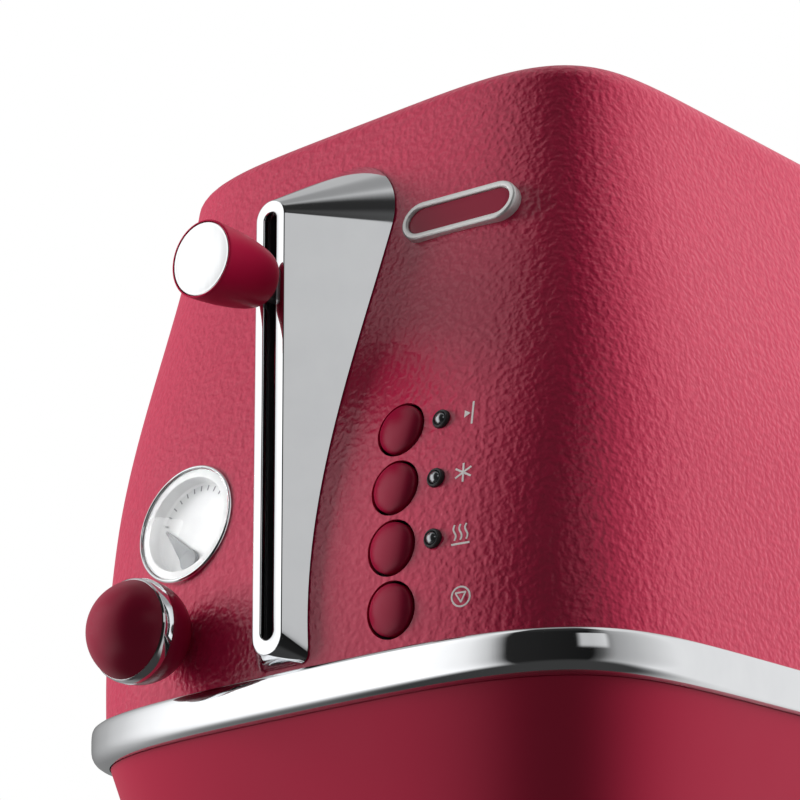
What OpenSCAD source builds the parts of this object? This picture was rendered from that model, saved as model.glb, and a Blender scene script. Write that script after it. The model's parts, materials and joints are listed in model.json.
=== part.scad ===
// Two-slot pop-up toaster with a front lever, a browning dial and gauge, and four push buttons.
// Millimetres. +Z is up, -Y is the lever end, and the origin is under the middle of the whole object.

/* [Casing] */
// Width of the painted casing at the bright band
body_w = 184; // [176:1:222]
// Length of the painted casing at the bright band
body_l = 294; // [274:1:354]
// Height of the painted casing above the bright band
body_h = 164; // [158:1:198]
// Thickness of the pressed steel casing
casing_wall = 1; // [0.8:0.1:1.4]
// How far each side leans in between the band and the top
side_lean = 14.3; // [8:0.1:18]
// How far each end leans in between the band and the top
end_lean = 33.8; // [24:0.1:40]
// Radius of the rolled edge round the top
top_roll = 8; // [5:0.5:10]
// Roundness of the ends in plan at the band, where a low number is rounder
end_bow = 3.56; // [3:0.01:6]
// Roundness of the sides in plan, where a high number is flatter
side_bow = 9.2; // [6:0.1:12]

/* [Base] */
// Height of the feet under the skirt
foot_h = 4; // [3:0.5:8]
// Radius of each foot
foot_r = 7.5; // [6:0.5:8]
// Height of the skirt below the bright band
skirt_h = 34; // [32:1:41]
// How far the skirt tapers in towards the feet
skirt_taper = 9; // [6:0.5:11]
// Wall thickness of the skirt
skirt_wall = 2.2; // [1.8:0.1:2.8]
// Height of the bright band
band_h = 11; // [9:0.5:14]
// How far the bright band stands out from the casing
band_proud = 3.2; // [2:0.1:4]
// Thickness of the steel base plate
plate_t = 1.2; // [1:0.1:1.6]

/* [Top deck] */
// Width of each bread slot
slot_w = 34; // [30:1:36]
// Length of each bread slot
slot_l = 150; // [140:1:156]
// Distance between the middles of the two bread slots
slot_pitch = 52; // [50:1:54]
// Height of the deck's rim above the casing
deck_rim = 2.5; // [2:0.1:4]
// Thickness of the deck's sheet
deck_t = 1.2; // [1:0.1:1.6]
// Distance from the casing's top edge at the lever end back to the deck
deck_setback = 20; // [16:1:26]

/* [Lever] */
// Height of the lever's axis above the band, at rest
lever_z = 104.6; // [100:0.1:110]
// Radius of the lever knob's rim
lever_r = 10.5; // [9:0.1:13]
// Length of the lever knob
lever_knob_l = 23; // [20:0.5:28]
// Width of the slot that the lever runs in
lever_slot_w = 4.4; // [4:0.1:5]
// Width of the bright fin's front edge
fin_w = 10; // [9:0.1:12]
// Slope of the fin's sides, across for each millimetre back
fin_flare = 0.64; // [0.5:0.01:0.7]
// Travel of the lever from rest down to the latch
lever_drop = 84; // [70:1:86]
// Travel of the lever above rest, to lift out small slices
lever_lift = 14; // [8:1:16]

/* [Controls] */
// Distance of the button column from the middle
button_x = 35.5; // [33:0.5:38]
// Height of the lowest button above the band
button_z = 10.3; // [10:0.1:12]
// Spacing of the buttons
button_pitch = 16; // [15:0.1:16.5]
// Radius of a button
button_r = 6.7; // [6:0.1:7]
// Travel of a button
button_travel = 2.5; // [1.5:0.1:2.6]
// Distance of the indicator lamps from the middle
lamp_x = 48.2; // [47:0.1:52]
// Radius of an indicator lamp
lamp_r = 2.5; // [2:0.1:3]
// Distance of the gauge and the dial knob from the middle
dial_x = 39; // [37:0.5:41]
// Height of the gauge's middle above the band
gauge_z = 48.3; // [46:0.1:50]
// Outer radius of the gauge's bezel
gauge_r = 17; // [15:0.1:18]
// Height of the dial knob's axis above the band
knob_z = 15.7; // [15:0.1:17]
// Radius of the dial knob
knob_r = 13.8; // [12:0.1:14.5]
// Angle of the gauge's needle to the left of upright, at rest
needle_angle = 45; // [0:1:60]

/* [Toasting chassis] */
// Distance from the middle to the inner face of each end frame
frame_y = 78.8; // [78:0.1:82]
// Thickness of the end frames
frame_t = 1.2; // [1:0.1:1.6]
// Half of the gap between the two bread guides of a slot
guide_gap = 15.5; // [14:0.1:16]
// Radius of the carriage's guide rod
rod_r = 3; // [2.5:0.1:4]
// Height of the bread lifters above the band, at rest
lifter_z = 82; // [78:1:88]

/* [Hidden] */

// Colours
paint_red = [0.55, 0.03, 0.10];
skirt_red = [0.45, 0.02, 0.08];
bright = [0.85, 0.86, 0.87];
black = [0.05, 0.05, 0.05];
mica = [0.70, 0.64, 0.52];
steel = [0.62, 0.63, 0.65];
board_green = [0.07, 0.30, 0.16];

// Clearances
fit = 0.1;      // a sliding or turning fit, on the radius
seat = 0.15;    // between parts that sit against each other
gap = 0.3;      // between parts that only lie close
over = 1;       // how far a cutter runs past what it cuts

// Levels
band_z = foot_h + skirt_h;
body_z = band_z + band_h;
top_z = body_z + body_h;
floor_t = 2.4;
plate_z = foot_h + floor_t;
deck_z = top_z + deck_rim;

// The lean of the casing follows a smooth step between these heights above the band
side_curve_from = 53;
side_curve_rise = 124;
end_curve_from = 8;
end_curve_rise = 189;
end_bow_gain = 1.0;   // how much flatter the ends are at the top

function smooth(t) = let (c = min(max(t, 0), 1)) c * c * (3 - 2 * c);
function half_w(z) = body_w / 2 - side_lean * smooth((z - body_z - side_curve_from) / side_curve_rise);
function half_l(z) = body_l / 2 - end_lean * smooth((z - body_z - end_curve_from) / end_curve_rise);
function bow(z) = end_bow + end_bow_gain * min(max((z - body_z) / body_h, 0), 1);

// Depth of the lever end's face at a place across and up
function front_y(x, z) = -half_l(z) * pow(1 - pow(min(abs(x) / half_w(z), 0.999), bow(z)), 1 / side_bow);
function front_tilt(x, z) = atan((front_y(x, z + 0.5) - front_y(x, z - 0.5)));

// One quarter of a plan outline runs up the side to the corner and then along the end
quarter_steps = 9;
corner_share = 0.8;
function quarter(w, l, n) =
    let (turn = pow(1 - pow(corner_share, n), 1 / side_bow))
    concat(
        [for (i = [0:quarter_steps]) let (v = turn * sin(90 * i / quarter_steps))
            [w * pow(1 - pow(v, side_bow), 1 / n), l * v]],
        [for (i = [quarter_steps - 1:-1:0]) let (u = corner_share * sin(90 * i / quarter_steps))
            [w * u, l * pow(1 - pow(u, n), 1 / side_bow)]]);
function outline(w, l, n) =
    let (q = quarter(w, l, n), last = len(q) - 1)
    concat(q,
        [for (i = [last - 1:-1:0]) [-q[i][0], q[i][1]]],
        [for (i = [1:last]) [-q[i][0], -q[i][1]]],
        [for (i = [last - 1:-1:1]) [q[i][0], -q[i][1]]]);
function ring(w, l, n, z) = [for (p = outline(w, l, n)) [p[0], p[1], z]];
function casing_ring(z, inset) = ring(half_w(z) - inset, half_l(z) - inset, bow(z), z);

// A closed solid through a loop of rings, each with the same number of points
module loop_of_rings(rings) {
    count = len(rings);
    points = len(rings[0]);
    polyhedron(
        points = [for (r = rings) each r],
        faces = [for (i = [0:count - 1], j = [0:points - 1])
            let (a = i * points + j, b = i * points + (j + 1) % points,
                c = ((i + 1) % count) * points + (j + 1) % points, d = ((i + 1) % count) * points + j)
            each [[a, d, c], [a, c, b]]],
        convexity = 8);
}

// Puts a child on the lever end's face: its Z points out of the face and its Y up it
module on_front(x, z) {
    translate([x, front_y(x, z), z])
        rotate([90 - front_tilt(x, z), 0, 0]) children();
}

// A block that fills the casing behind a part of the lever end's face
module behind_face(proud, x_low, x_high, z_low, z_high) {
    across = 14;
    up = 22;
    back = -half_l(top_z) + 40;
    xs = [for (i = [0:across]) x_low + (x_high - x_low) * i / across];
    zs = [for (k = [0:up]) z_low + (z_high - z_low) * k / up];
    front = [for (z = zs, x = xs) [x, front_y(x, z) - proud, z]];
    rear = [for (z = zs, x = xs) [x, back, z]];
    cols = across + 1;
    rear_at = len(front);
    sheet = [for (k = [0:up - 1], i = [0:across - 1]) let (a = k * cols + i)
        each [[a, a + cols, a + cols + 1], [a, a + cols + 1, a + 1]]];
    sides = concat(
        [for (i = [0:across - 1]) let (a = i, b = i + 1) each [[a, b, rear_at + b], [a, rear_at + b, rear_at + a]]],
        [for (i = [0:across - 1]) let (a = up * cols + i, b = a + 1)
            each [[b, a, rear_at + a], [b, rear_at + a, rear_at + b]]],
        [for (k = [0:up - 1]) let (a = k * cols, b = a + cols) each [[b, a, rear_at + a], [b, rear_at + a, rear_at + b]]],
        [for (k = [0:up - 1]) let (a = k * cols + across, b = a + cols)
            each [[a, b, rear_at + b], [a, rear_at + b, rear_at + a]]]);
    polyhedron(
        points = concat(front, rear),
        faces = concat(sheet, [for (f = sheet) [rear_at + f[0], rear_at + f[2], rear_at + f[1]]], sides),
        convexity = 6);
}

module rounded_rect(w, l, r) {
    for (x = [-1, 1], y = [-1, 1])
        translate([x * (w / 2 - r), y * (l / 2 - r)]) circle(r, $fn = 48);
    square([w - 2 * r, l], center = true);
    square([w, l - 2 * r], center = true);
}

module stadium(low, high, r) {
    translate([0, low + r]) circle(r, $fn = 48);
    translate([0, high - r]) circle(r, $fn = 48);
    translate([-r, low + r]) square([2 * r, high - low - 2 * r]);
}

// ---- Casing ----

shell_low = band_z + 1.5;
roll_from = 8;     // degrees of lean where the rolled edge starts
roll_z = top_z - top_roll * (1 - sin(roll_from));
top_half_w = half_w(roll_z) - top_roll * cos(roll_from);
top_half_l = half_l(roll_z) - top_roll * cos(roll_from);
deck_half_w = top_half_w;
deck_half_l = top_half_l + top_roll - deck_setback;
hole_inset = 2;    // the deck's lip covers this much of the casing's top

module body_shell() {
    side_steps = 14;
    roll_steps = 5;
    rise = [for (i = [0:side_steps]) shell_low + (roll_z - shell_low) * i / side_steps];
    roll = [for (i = [1:roll_steps]) roll_from + (90 - roll_from) * i / roll_steps];
    mouth_w = deck_half_w - hole_inset;
    mouth_l = deck_half_l - hole_inset;
    n = bow(top_z);
    function rolled(a, r) = ring(top_half_w + r * cos(a), top_half_l + r * cos(a), n, top_z - top_roll + r * sin(a));
    rings = concat(
        [for (z = rise) casing_ring(z, 0)],
        [for (a = roll) rolled(a, top_roll)],
        [ring(mouth_w, mouth_l, n, top_z), ring(mouth_w, mouth_l, n, top_z - casing_wall)],
        [for (i = [roll_steps:-1:1]) rolled(roll[i - 1], top_roll - casing_wall)],
        [for (i = [side_steps:-1:0]) casing_ring(rise[i], casing_wall)]);
    color(paint_red) difference() {
        loop_of_rings(rings);
        lever_way(shell_slot_w, 16);
        on_front(-dial_x, gauge_at) cylinder(r = cup_r + seat, h = 20, center = true, $fn = 72);
        on_knob_axis() translate([0, 0, knob_stand - 30]) cylinder(r = shaft_r + 0.6, h = 34, $fn = 48);
        for (k = [0:3]) on_front(button_x, button_at(k)) cylinder(r = button_r + 0.4, h = 16, center = true, $fn = 48);
        for (k = [1:3]) on_front(lamp_x, button_at(k)) cylinder(r = lamp_r + fit, h = 16, center = true, $fn = 48);
    }
}

collar_t = 1.2;
collar_h = 6;

module top_deck() {
    lip = [deck_half_w, deck_half_l];
    n = bow(top_z);
    color(bright) difference() {
        union() {
            translate([0, 0, deck_z - deck_t]) linear_extrude(deck_t) polygon(outline(lip[0], lip[1], n));
            translate([0, 0, top_z]) linear_extrude(deck_rim - deck_t / 2) difference() {
                polygon(outline(lip[0], lip[1], n));
                polygon(outline(lip[0] - deck_t, lip[1] - deck_t, n));
            }
            translate([0, 0, top_z - 3]) linear_extrude(3 + deck_rim - deck_t / 2) difference() {
                polygon(outline(lip[0] - hole_inset - gap, lip[1] - hole_inset - gap, n));
                polygon(outline(lip[0] - hole_inset - gap - deck_t, lip[1] - hole_inset - gap - deck_t, n));
            }
            translate([0, 0, top_z]) linear_extrude(deck_rim - deck_t / 2) difference() {
                polygon(outline(lip[0] - deck_t / 2, lip[1] - deck_t / 2, n));
                polygon(outline(lip[0] - hole_inset - gap - deck_t / 2, lip[1] - hole_inset - gap - deck_t / 2, n));
            }
            for (s = [-1, 1]) translate([s * slot_pitch / 2, 0, top_z - collar_h])
                linear_extrude(collar_h + deck_rim - deck_t / 2)
                    rounded_rect(slot_w + 2 * collar_t, slot_l + 2 * collar_t, 8 + collar_t);
        }
        for (s = [-1, 1]) translate([s * slot_pitch / 2, 0, top_z - collar_h - over])
            linear_extrude(collar_h + deck_rim + 2 * over) rounded_rect(slot_w, slot_l, 8);
    }
}

module chrome_band() {
    w = body_w / 2;
    l = body_l / 2;
    // how far each corner of the section stands out from the casing, and its height
    section = [
        [seat, body_z], [band_proud - 1.4, body_z], [band_proud - 0.4, body_z - 0.4], [band_proud, body_z - 1.4],
        [band_proud, band_z + 3.2], [band_proud - 0.5, band_z + 1.8], [1.2, band_z + 0.5], [-0.8, band_z],
        [-0.8, band_z + 0.9], [seat, band_z + 0.9]];
    color(bright) loop_of_rings([for (i = [len(section) - 1:-1:0])
        ring(w + section[i][0], l + section[i][0], end_bow, section[i][1])]);
}

skirt_in = 1;           // the skirt's top edge lies this far inside the casing's face
skirt_edge = 4;         // radius where the skirt meets its floor
floor_half_w = body_w / 2 - 36;
floor_half_l = body_l / 2 - 31;

function skirt_inset(z) = skirt_in + skirt_taper * (band_z - z) / skirt_h;

module base_skirt() {
    w = body_w / 2;
    l = body_l / 2;
    function at(inset, z) = ring(w - inset, l - inset, end_bow, z);
    low_in = skirt_inset(foot_h);
    spigot_in = casing_wall + seat;
    rim_in = spigot_in + skirt_wall;
    color(skirt_red) difference() {
        union() {
            loop_of_rings([
                at(skirt_inset(foot_h + skirt_edge), foot_h + skirt_edge),
                at(skirt_inset(foot_h + skirt_edge * 0.5) + 0.2, foot_h + skirt_edge * 0.5),
                at(low_in + 0.9, foot_h + skirt_edge * 0.15),
                at(low_in + 2.4, foot_h),
                ring(floor_half_w, floor_half_l, end_bow, foot_h),
                ring(floor_half_w, floor_half_l, end_bow, plate_z),
                at(low_in + skirt_wall + 2, plate_z),
                at(skirt_inset(foot_h + skirt_edge) + skirt_wall, foot_h + skirt_edge + 1),
                at(rim_in, band_z - 2),
                at(rim_in, body_z - 2),
                at(spigot_in, body_z - 2),
                at(spigot_in, band_z - seat),
                at(skirt_in, band_z - seat)]);
        }
        tray_way(tray_half_w + 1, tray_low - 1.5, tray_low + tray_h + 2);
        translate([0, body_l / 2, gland_z]) rotate([90, 0, 0]) cylinder(r = gland_r, h = 40, center = true, $fn = 48);
        for (x = [-1, 1], y = [-1, 1]) translate([x * foot_x, y * foot_y, foot_h - over])
            cylinder(r = stud_r + 0.05, h = floor_t + 2 * over, $fn = 32);
        for (p = base_screw_places) translate([p[0], p[1], foot_h - over])
            cylinder(r = screw_r + 0.05, h = floor_t + 2 * over, $fn = 32);
        for (p = base_screw_places) translate([p[0], p[1], foot_h - over])
            cylinder(r = screw_head_r + 0.1, h = screw_head_h + over, $fn = 32);
    }
}

base_half_w = floor_half_w + 10;
base_half_l = floor_half_l + 10;
screw_r = 1.8;
screw_head_r = 3.4;
screw_head_h = 1.6;
screw_l = 9;
base_screw_places = [for (x = [-1, 1], y = [-1, 1]) [x * (floor_half_w + 5), y * 62]];

module base_plate() {
    vent_pitch = 12;
    color(steel) difference() {
        union() {
            translate([0, 0, plate_z]) linear_extrude(plate_t) rounded_rect(2 * base_half_w, 2 * base_half_l, 22);
            for (x = [-1, 1]) translate([x * runner_x - 2, -tray_back, plate_z + plate_t / 2])
                cube([4, tray_back + 60, tray_low - seat - plate_z - plate_t / 2]);
            for (p = board_screw_places) translate([p[0], p[1], plate_z + plate_t / 2])
                cylinder(r = 3.2, h = board_z - plate_z - plate_t / 2, $fn = 32);
        }
        for (i = [-5:5]) translate([-34, i * vent_pitch - 2, plate_z - over])
            cube([68, 4, plate_t + 2 * over]);
        for (p = base_screw_places) translate([p[0], p[1], plate_z - over])
            cylinder(r = screw_r + 0.05, h = plate_t + 2 * over, $fn = 32);
        for (p = board_screw_places) translate([p[0], p[1], plate_z - over])
            cylinder(r = 1.3, h = 20, $fn = 32);
    }
}

module base_screws() {
    color(steel) for (p = base_screw_places) translate([p[0], p[1], foot_h]) difference() {
        union() {
            cylinder(r = screw_head_r, h = screw_head_h, $fn = 32);
            translate([0, 0, screw_head_h / 2]) cylinder(r = screw_r, h = screw_l - screw_head_h / 2, $fn = 32);
        }
        translate([0, 0, -over]) cylinder(r = 1.6, h = over + 1, $fn = 6);
    }
}

foot_x = floor_half_w + 14;
foot_y = floor_half_l - 16;
stud_r = 2.5;

module feet() {
    color(black) for (x = [-1, 1], y = [-1, 1]) translate([x * foot_x, y * foot_y, 0]) {
        rotate_extrude($fn = 64) polygon([[0, 0], [foot_r - 1, 0], [foot_r, 1], [foot_r - 0.3, foot_h - 0.05],
            [stud_r, foot_h - 0.05], [stud_r, plate_z], [0, plate_z]]);
    }
}

// ---- Lever ----

slot_low = body_z + 7.9;
slot_high = body_z + 125.4;
fin_low = body_z + 4.1;
fin_high = body_z + 128.6;
fin_lean = 1.5;                          // degrees that the fin's front edge leans back
fin_front = half_l(body_z) + 6.4;        // distance of the fin's front edge from the middle, at its foot
fin_reach = 42;                          // how far back the fin's flare is drawn before the casing cuts it
fin_wall = 1.8;
liner_t = 2;
shell_slot_w = 9;
lever_at = body_z + lever_z;
blade_t = 2.6;
blade_h = 9;

function fin_y(z) = -fin_front + (z - fin_low) * tan(fin_lean);

// Puts a drawing whose Y runs up the fin on the fin's front edge, with its Z pointing out
module on_fin(back) {
    translate([0, -fin_front + back, fin_low]) rotate([90 - fin_lean, 0, 0]) translate([0, -fin_low, 0]) children();
}

// A straight slot through the lever end, for the lever to run in
module lever_way(w, depth) {
    translate([0, -half_l(body_z) + 40, 0]) rotate([90, 0, 0]) linear_extrude(40 + depth)
        stadium(slot_low - 1.5, slot_high + 1.5, w / 2);
}

module fin_form(inset) {
    wide = fin_w / 2 + fin_flare * fin_reach;
    drop = 0.38 * fin_reach;
    top = fin_high - fin_w / 2;
    hull() {
        on_fin(inset) translate([0, 0, -0.1]) linear_extrude(0.1)
            stadium(fin_low + inset, fin_high - inset, fin_w / 2 - inset * 0.9, $fn = 32);
        on_fin(inset + fin_reach) translate([0, 0, -0.1]) linear_extrude(0.1) {
            translate([0, top]) circle(wide - inset * 0.9, $fn = 64);
            translate([-wide + inset * 0.9, fin_low - drop + inset]) square([2 * (wide - inset * 0.9), top - fin_low]);
        }
    }
}

module lever_fin() {
    color(bright) difference() {
        fin_form(0);
        difference() {
            fin_form(fin_wall);
            on_fin(0) translate([0, 0, -fin_wall]) linear_extrude(fin_wall + over)
                square([60, 2 * fin_high + 200], center = true);
        }
        behind_face(0.1, -44, 44, body_z - 16, top_z - 2);
        on_fin(0) translate([0, 0, -10]) linear_extrude(20) stadium(slot_low, slot_high, lever_slot_w / 2);
    }
}

module slot_liner() {
    half = fin_w / 2 - 1.8;
    color(black) on_fin(fin_wall + seat) translate([0, 0, -liner_t]) linear_extrude(liner_t) difference() {
        stadium(slot_low - 1.1, slot_high + 0.6, half);
        stadium(slot_low + 0.4, slot_high - 0.4, blade_t / 2 + 0.4);
    }
}

knob_end = fin_y(lever_at - lever_drop) - 0.5;   // the end of the lever knob nearest the fin
cap_y = knob_end - lever_knob_l;
cap_r = lever_r - 0.6;
cap_t = 1.6;

module lever_arm() {
    color(steel) translate([-blade_t / 2, knob_end - 11, lever_at - blade_h / 2])
        cube([blade_t, -boss_back - knob_end + 11, blade_h]);
}

module lever_knob() {
    // along the knob from the fin, and its radius there
    curve = [for (i = [0:14]) let (t = i / 14)
        [lever_knob_l * (0.02 + 0.98 * t), lever_r * (0.6 + 0.4 * sqrt(sin(90 * t)))]];
    color(paint_red) translate([0, knob_end, lever_at]) rotate([90, 0, 0]) difference() {
        rotate_extrude($fn = 96) polygon(concat([[0, 0], [lever_r / 2, 0]], [for (p = curve) [p[1], p[0]]], [[0, lever_knob_l]]));
        translate([0, 0, lever_knob_l - cap_t]) cylinder(r = cap_r + fit, h = cap_t + over, $fn = 96);
        translate([-blade_t / 2 - 0.05, -blade_h / 2 - 0.05, -over]) cube([blade_t + 0.1, blade_h + 0.1, 11 + over + 0.05]);
    }
}

module lever_cap() {
    color(bright) translate([0, cap_y, lever_at]) rotate([-90, 0, 0]) cylinder(r = cap_r, h = cap_t, $fn = 96);
}

// ---- Gauge, dial knob, buttons and badge ----

gauge_at = body_z + gauge_z;
cup_r = gauge_r - 1.8;
needle_pivot = 9.5;     // how far below the gauge's middle the needle turns
dial_z = -3.6;           // the dial's front, behind the face

module at_gauge() { on_front(-dial_x, gauge_at) children(); }

module gauge_bezel() {
    color(bright) difference() {
        at_gauge() rotate_extrude($fn = 96) polygon([[cup_r - 1.3, -1], [gauge_r, -1], [gauge_r, 0.9], [gauge_r - 0.5, 1.5],
            [gauge_r - 1.2, 1.6], [cup_r + 0.1, 1.0], [cup_r + 0.1, 0.4], [cup_r - 1.3, 0.4]]);
        behind_face(0.05, -dial_x - 24, -dial_x + 24, gauge_at - 30, gauge_at + 30);
        at_gauge() translate([0, 0, -2]) cylinder(r = cup_r + 0.1, h = 2.3, $fn = 96);
    }
}

module gauge_lens() {
    rise = 2.6;
    base = cup_r - 0.05;
    big = (base * base + rise * rise) / (2 * rise);
    color([0.85, 0.9, 0.9, 0.4]) at_gauge() translate([0, 0, 0.45]) difference() {
        union() {
            intersection() {
                translate([0, 0, rise - big + 0.5]) sphere(big, $fn = 96);
                cylinder(r = base, h = rise + 1, $fn = 96);
            }
        }
        intersection() {
            translate([0, 0, rise - big - 0.6]) sphere(big, $fn = 96);
            translate([0, 0, -over]) cylinder(r = base - 1, h = rise + 2, $fn = 96);
        }
    }
}

module gauge_dial() {
    color([0.9, 0.9, 0.88]) at_gauge() translate([0, 0, dial_z - 0.8]) difference() {
        cylinder(r = cup_r - 1.3, h = 0.8, $fn = 96);
        translate([0, -needle_pivot, -over]) cylinder(r = 1.1, h = 3, $fn = 32);
    }
}

module gauge_needle() {
    l = 15;
    hub_r = 3;
    color([0.35, 0.35, 0.36]) at_gauge() translate([0, -needle_pivot, 0]) {
        rotate([0, 0, needle_angle]) translate([0, 0, dial_z + 0.4]) {
            linear_extrude(0.6) polygon([[-2.6, 0], [-0.25, l], [0.25, l], [2.6, 0]]);
            cylinder(r = hub_r, h = 1.2, $fn = 48);
        }
        translate([0, 0, dial_z - 3.5]) cylinder(r = 1, h = 4, $fn = 32);
    }
}

module gauge_housing() {
    depth = 9;
    color(black) {
        difference() {
            union() {
                at_gauge() translate([0, 0, -depth]) cylinder(r = cup_r, h = depth + 0.2, $fn = 96);
                translate([-dial_x, bracket_front - seat, gauge_at - 1]) rotate([90, 0, 0])
                    cylinder(r = 7, h = -front_y(-dial_x, gauge_at) + bracket_front - seat - depth + 1.5, $fn = 48);
            }
            at_gauge() translate([0, 0, dial_z - 0.8]) cylinder(r = cup_r - 1.2, h = 12, $fn = 96);
            at_gauge() translate([0, -needle_pivot, -7.5]) cylinder(r = 1 + fit, h = 8, $fn = 32);
        }
    }
}

knob_at = body_z + knob_z;
shaft_r = 3;
knob_stand = 14;         // the ball's centre stands this far out of the face
ball_back = -12.2;         // the ball's flat back, from its centre
ring_from = 0.8;
ring_to = 4.3;
shaft_end = 4;

// Puts a child on the dial knob's axis, with its Z out of the toaster and its origin at the ball's centre
module on_knob_axis() {
    translate([-dial_x, front_y(-dial_x, knob_at) - knob_stand, knob_at]) rotate([90, 0, 0])
        children();
}

module ball_slice(low, high, r) {
    intersection() {
        sphere(r, $fn = 96);
        translate([0, 0, low]) cylinder(r = r + over, h = high - low, $fn = 96);
    }
}

module knob_front() {
    color(paint_red) on_knob_axis() ball_slice(ring_to + 0.05, knob_r, knob_r);
}

module knob_ring() {
    color(bright) on_knob_axis() difference() {
        ball_slice(ring_from, ring_to, knob_r + 0.3);
        translate([0, 0, -over]) cylinder(r = 8, h = 20, $fn = 48);
    }
}

module knob_back() {
    color(paint_red) on_knob_axis() difference() {
        union() {
            ball_slice(ball_back, ring_from - 0.05, knob_r);
            cylinder(r = 7.9, h = ring_to, $fn = 48);
        }
        translate([0, 0, ball_back - over]) cylinder(r = shaft_r + 0.05, h = shaft_end - ball_back + over + 0.1, $fn = 48);
    }
}

module knob_shaft() {
    back = -knob_stand - (-front_y(-dial_x, knob_at) + bracket_front) + 2.3;
    color(steel) on_knob_axis() translate([0, 0, back]) cylinder(r = shaft_r, h = shaft_end - back, $fn = 48);
}

pot_depth = 8;

module potentiometer() {
    color([0.25, 0.25, 0.27]) translate([-dial_x, bracket_front - seat, knob_at]) rotate([90, 0, 0]) difference() {
        union() {
            cylinder(r = 8, h = pot_depth, $fn = 64);
            cylinder(r = 4.6, h = pot_depth + 5, $fn = 48);
        }
        translate([0, 0, 2]) cylinder(r = shaft_r + fit, h = pot_depth + 6, $fn = 48);
    }
}

function button_at(k) = body_z + button_z + k * button_pitch;
stem_r = 3;
stem_back = 1;           // the stem stops this far short of the bracket's back
sleeve_l = 8;

function depth_to(x, z, y) = (y - front_y(x, z)) / cos(front_tilt(x, z));

module button(k) {
    big = 24;
    rise = 1.9;
    z = button_at(k);
    stem = depth_to(button_x, z, bracket_front + bracket_t - stem_back);
    color(paint_red) on_front(button_x, z) {
        intersection() {
            translate([0, 0, rise - big]) sphere(big, $fn = 96);
            translate([0, 0, -4]) cylinder(r = button_r, h = 8, $fn = 72);
        }
        translate([0, 0, -stem]) cylinder(r = stem_r, h = stem - 3.5, $fn = 48);
    }
}

module indicator_lamps() {
    color([0.5, 0.5, 0.52]) for (k = [1:3]) {
        z = button_at(k);
        on_front(lamp_x, z) {
            intersection() {
                translate([0, 0, -2.2]) sphere(4, $fn = 64);
                translate([0, 0, -3]) cylinder(r = lamp_r, h = 6, $fn = 48);
            }
            translate([0, 0, -depth_to(lamp_x, z, board_y - 0.5)])
                cylinder(r = 1.4, h = depth_to(lamp_x, z, board_y - 0.5) - 2, $fn = 32);
        }
    }
}

badge_x = 44.4;
badge_at = body_z + 120;
badge_l = 36;
badge_h = 12;
badge_turn = 5.2;                        // degrees that the badge turns with the casing's curve
badge_border = 1.9;

module badge_solid(grow, low, high) {
    on_front(badge_x, badge_at) rotate([0, badge_turn, 0]) translate([0, 0, low]) linear_extrude(high - low)
        rotate(-90) stadium(-badge_l / 2 - grow, badge_l / 2 + grow, badge_h / 2 + grow);
}

module badge_frame() {
    color(bright) difference() {
        badge_solid(0, -3, 1.6);
        badge_solid(-badge_border, -6, 4);
        behind_face(0.05, badge_x - 28, badge_x + 28, badge_at - 20, badge_at + 20);
    }
}

module badge_plate() {
    color(paint_red) difference() {
        badge_solid(-badge_border - 0.1, -3, 1);
        behind_face(0.05, badge_x - 28, badge_x + 28, badge_at - 20, badge_at + 20);
    }
}

// ---- Control bracket and boards ----

bracket_front = -half_l(body_z) + 21;    // the bracket's front face
bracket_t = 2;
bracket_half_w = 70;
bracket_foot_w = 48;
bracket_high = body_z + 76;
board_y = bracket_front + 8;             // the control board's front face
board_t = 1.6;
lever_gap = 14;                          // clear width in the bracket for the lever

module control_bracket() {
    color([0.12, 0.12, 0.13]) difference() {
        union() {
            translate([-bracket_half_w, bracket_front, band_z]) cube([2 * bracket_half_w, bracket_t, bracket_high - band_z]);
            translate([-bracket_foot_w, bracket_front, plate_z + plate_t])
                cube([2 * bracket_foot_w, bracket_t, band_z + over - plate_z - plate_t]);
            translate([-bracket_foot_w, bracket_front, plate_z + plate_t]) cube([2 * bracket_foot_w, 4.5, 2]);
            for (k = [0:3]) sleeve(button_x, button_at(k), stem_r + 2.2);
            for (x = [button_x - 12, button_x + 25], z = [body_z + 5, body_z + 66])
                translate([x, bracket_front + 1, z]) rotate([-90, 0, 0])
                    cylinder(r = 2.6, h = board_y - bracket_front - 1, $fn = 32);
        }
        translate([-lever_gap / 2, bracket_front - over, body_z + 8])
            cube([lever_gap, bracket_t + 2 * over, body_h]);
        for (k = [0:3]) on_front(button_x, button_at(k)) translate([0, 0, -40])
            cylinder(r = stem_r + fit, h = 40, $fn = 48);
        for (k = [1:3]) on_front(lamp_x, button_at(k)) translate([0, 0, -40]) cylinder(r = 1.7, h = 40, $fn = 32);
        for (x = [button_x - 12, button_x + 25], z = [body_z + 5, body_z + 66])
            translate([x, bracket_front + bracket_t, z]) rotate([-90, 0, 0]) cylinder(r = 1.3, h = 20, $fn = 32);
    }
}

module sleeve(x, z, r) {
    far = depth_to(x, z, bracket_front + 0.4);
    on_front(x, z) translate([0, 0, -far]) cylinder(r = r, h = sleeve_l, $fn = 48);
}

module control_board() {
    color(board_green) difference() {
        translate([button_x - 15.5, board_y, body_z + 1]) cube([44, board_t, 69]);
        for (x = [button_x - 12, button_x + 25], z = [body_z + 5, body_z + 66])
            translate([x, board_y - over, z]) rotate([-90, 0, 0]) cylinder(r = 1.3, h = 20, $fn = 32);
    }
}

module button_switches() {
    color(black) for (k = [0:3]) {
        z = button_at(k) - (board_y - front_y(button_x, button_at(k))) * tan(front_tilt(button_x, button_at(k)));
        translate([button_x - 3, board_y - 3.5, z - 3]) cube([6, 3.5, 6]);
    }
}

board_z = plate_z + 6;
power_board_y = [bracket_front + 4, -frame_y - frame_t - 3];
board_screw_places = [for (x = [-58, 50], y = [power_board_y[0] + 4, power_board_y[1] - 4]) [x, y]];

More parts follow.
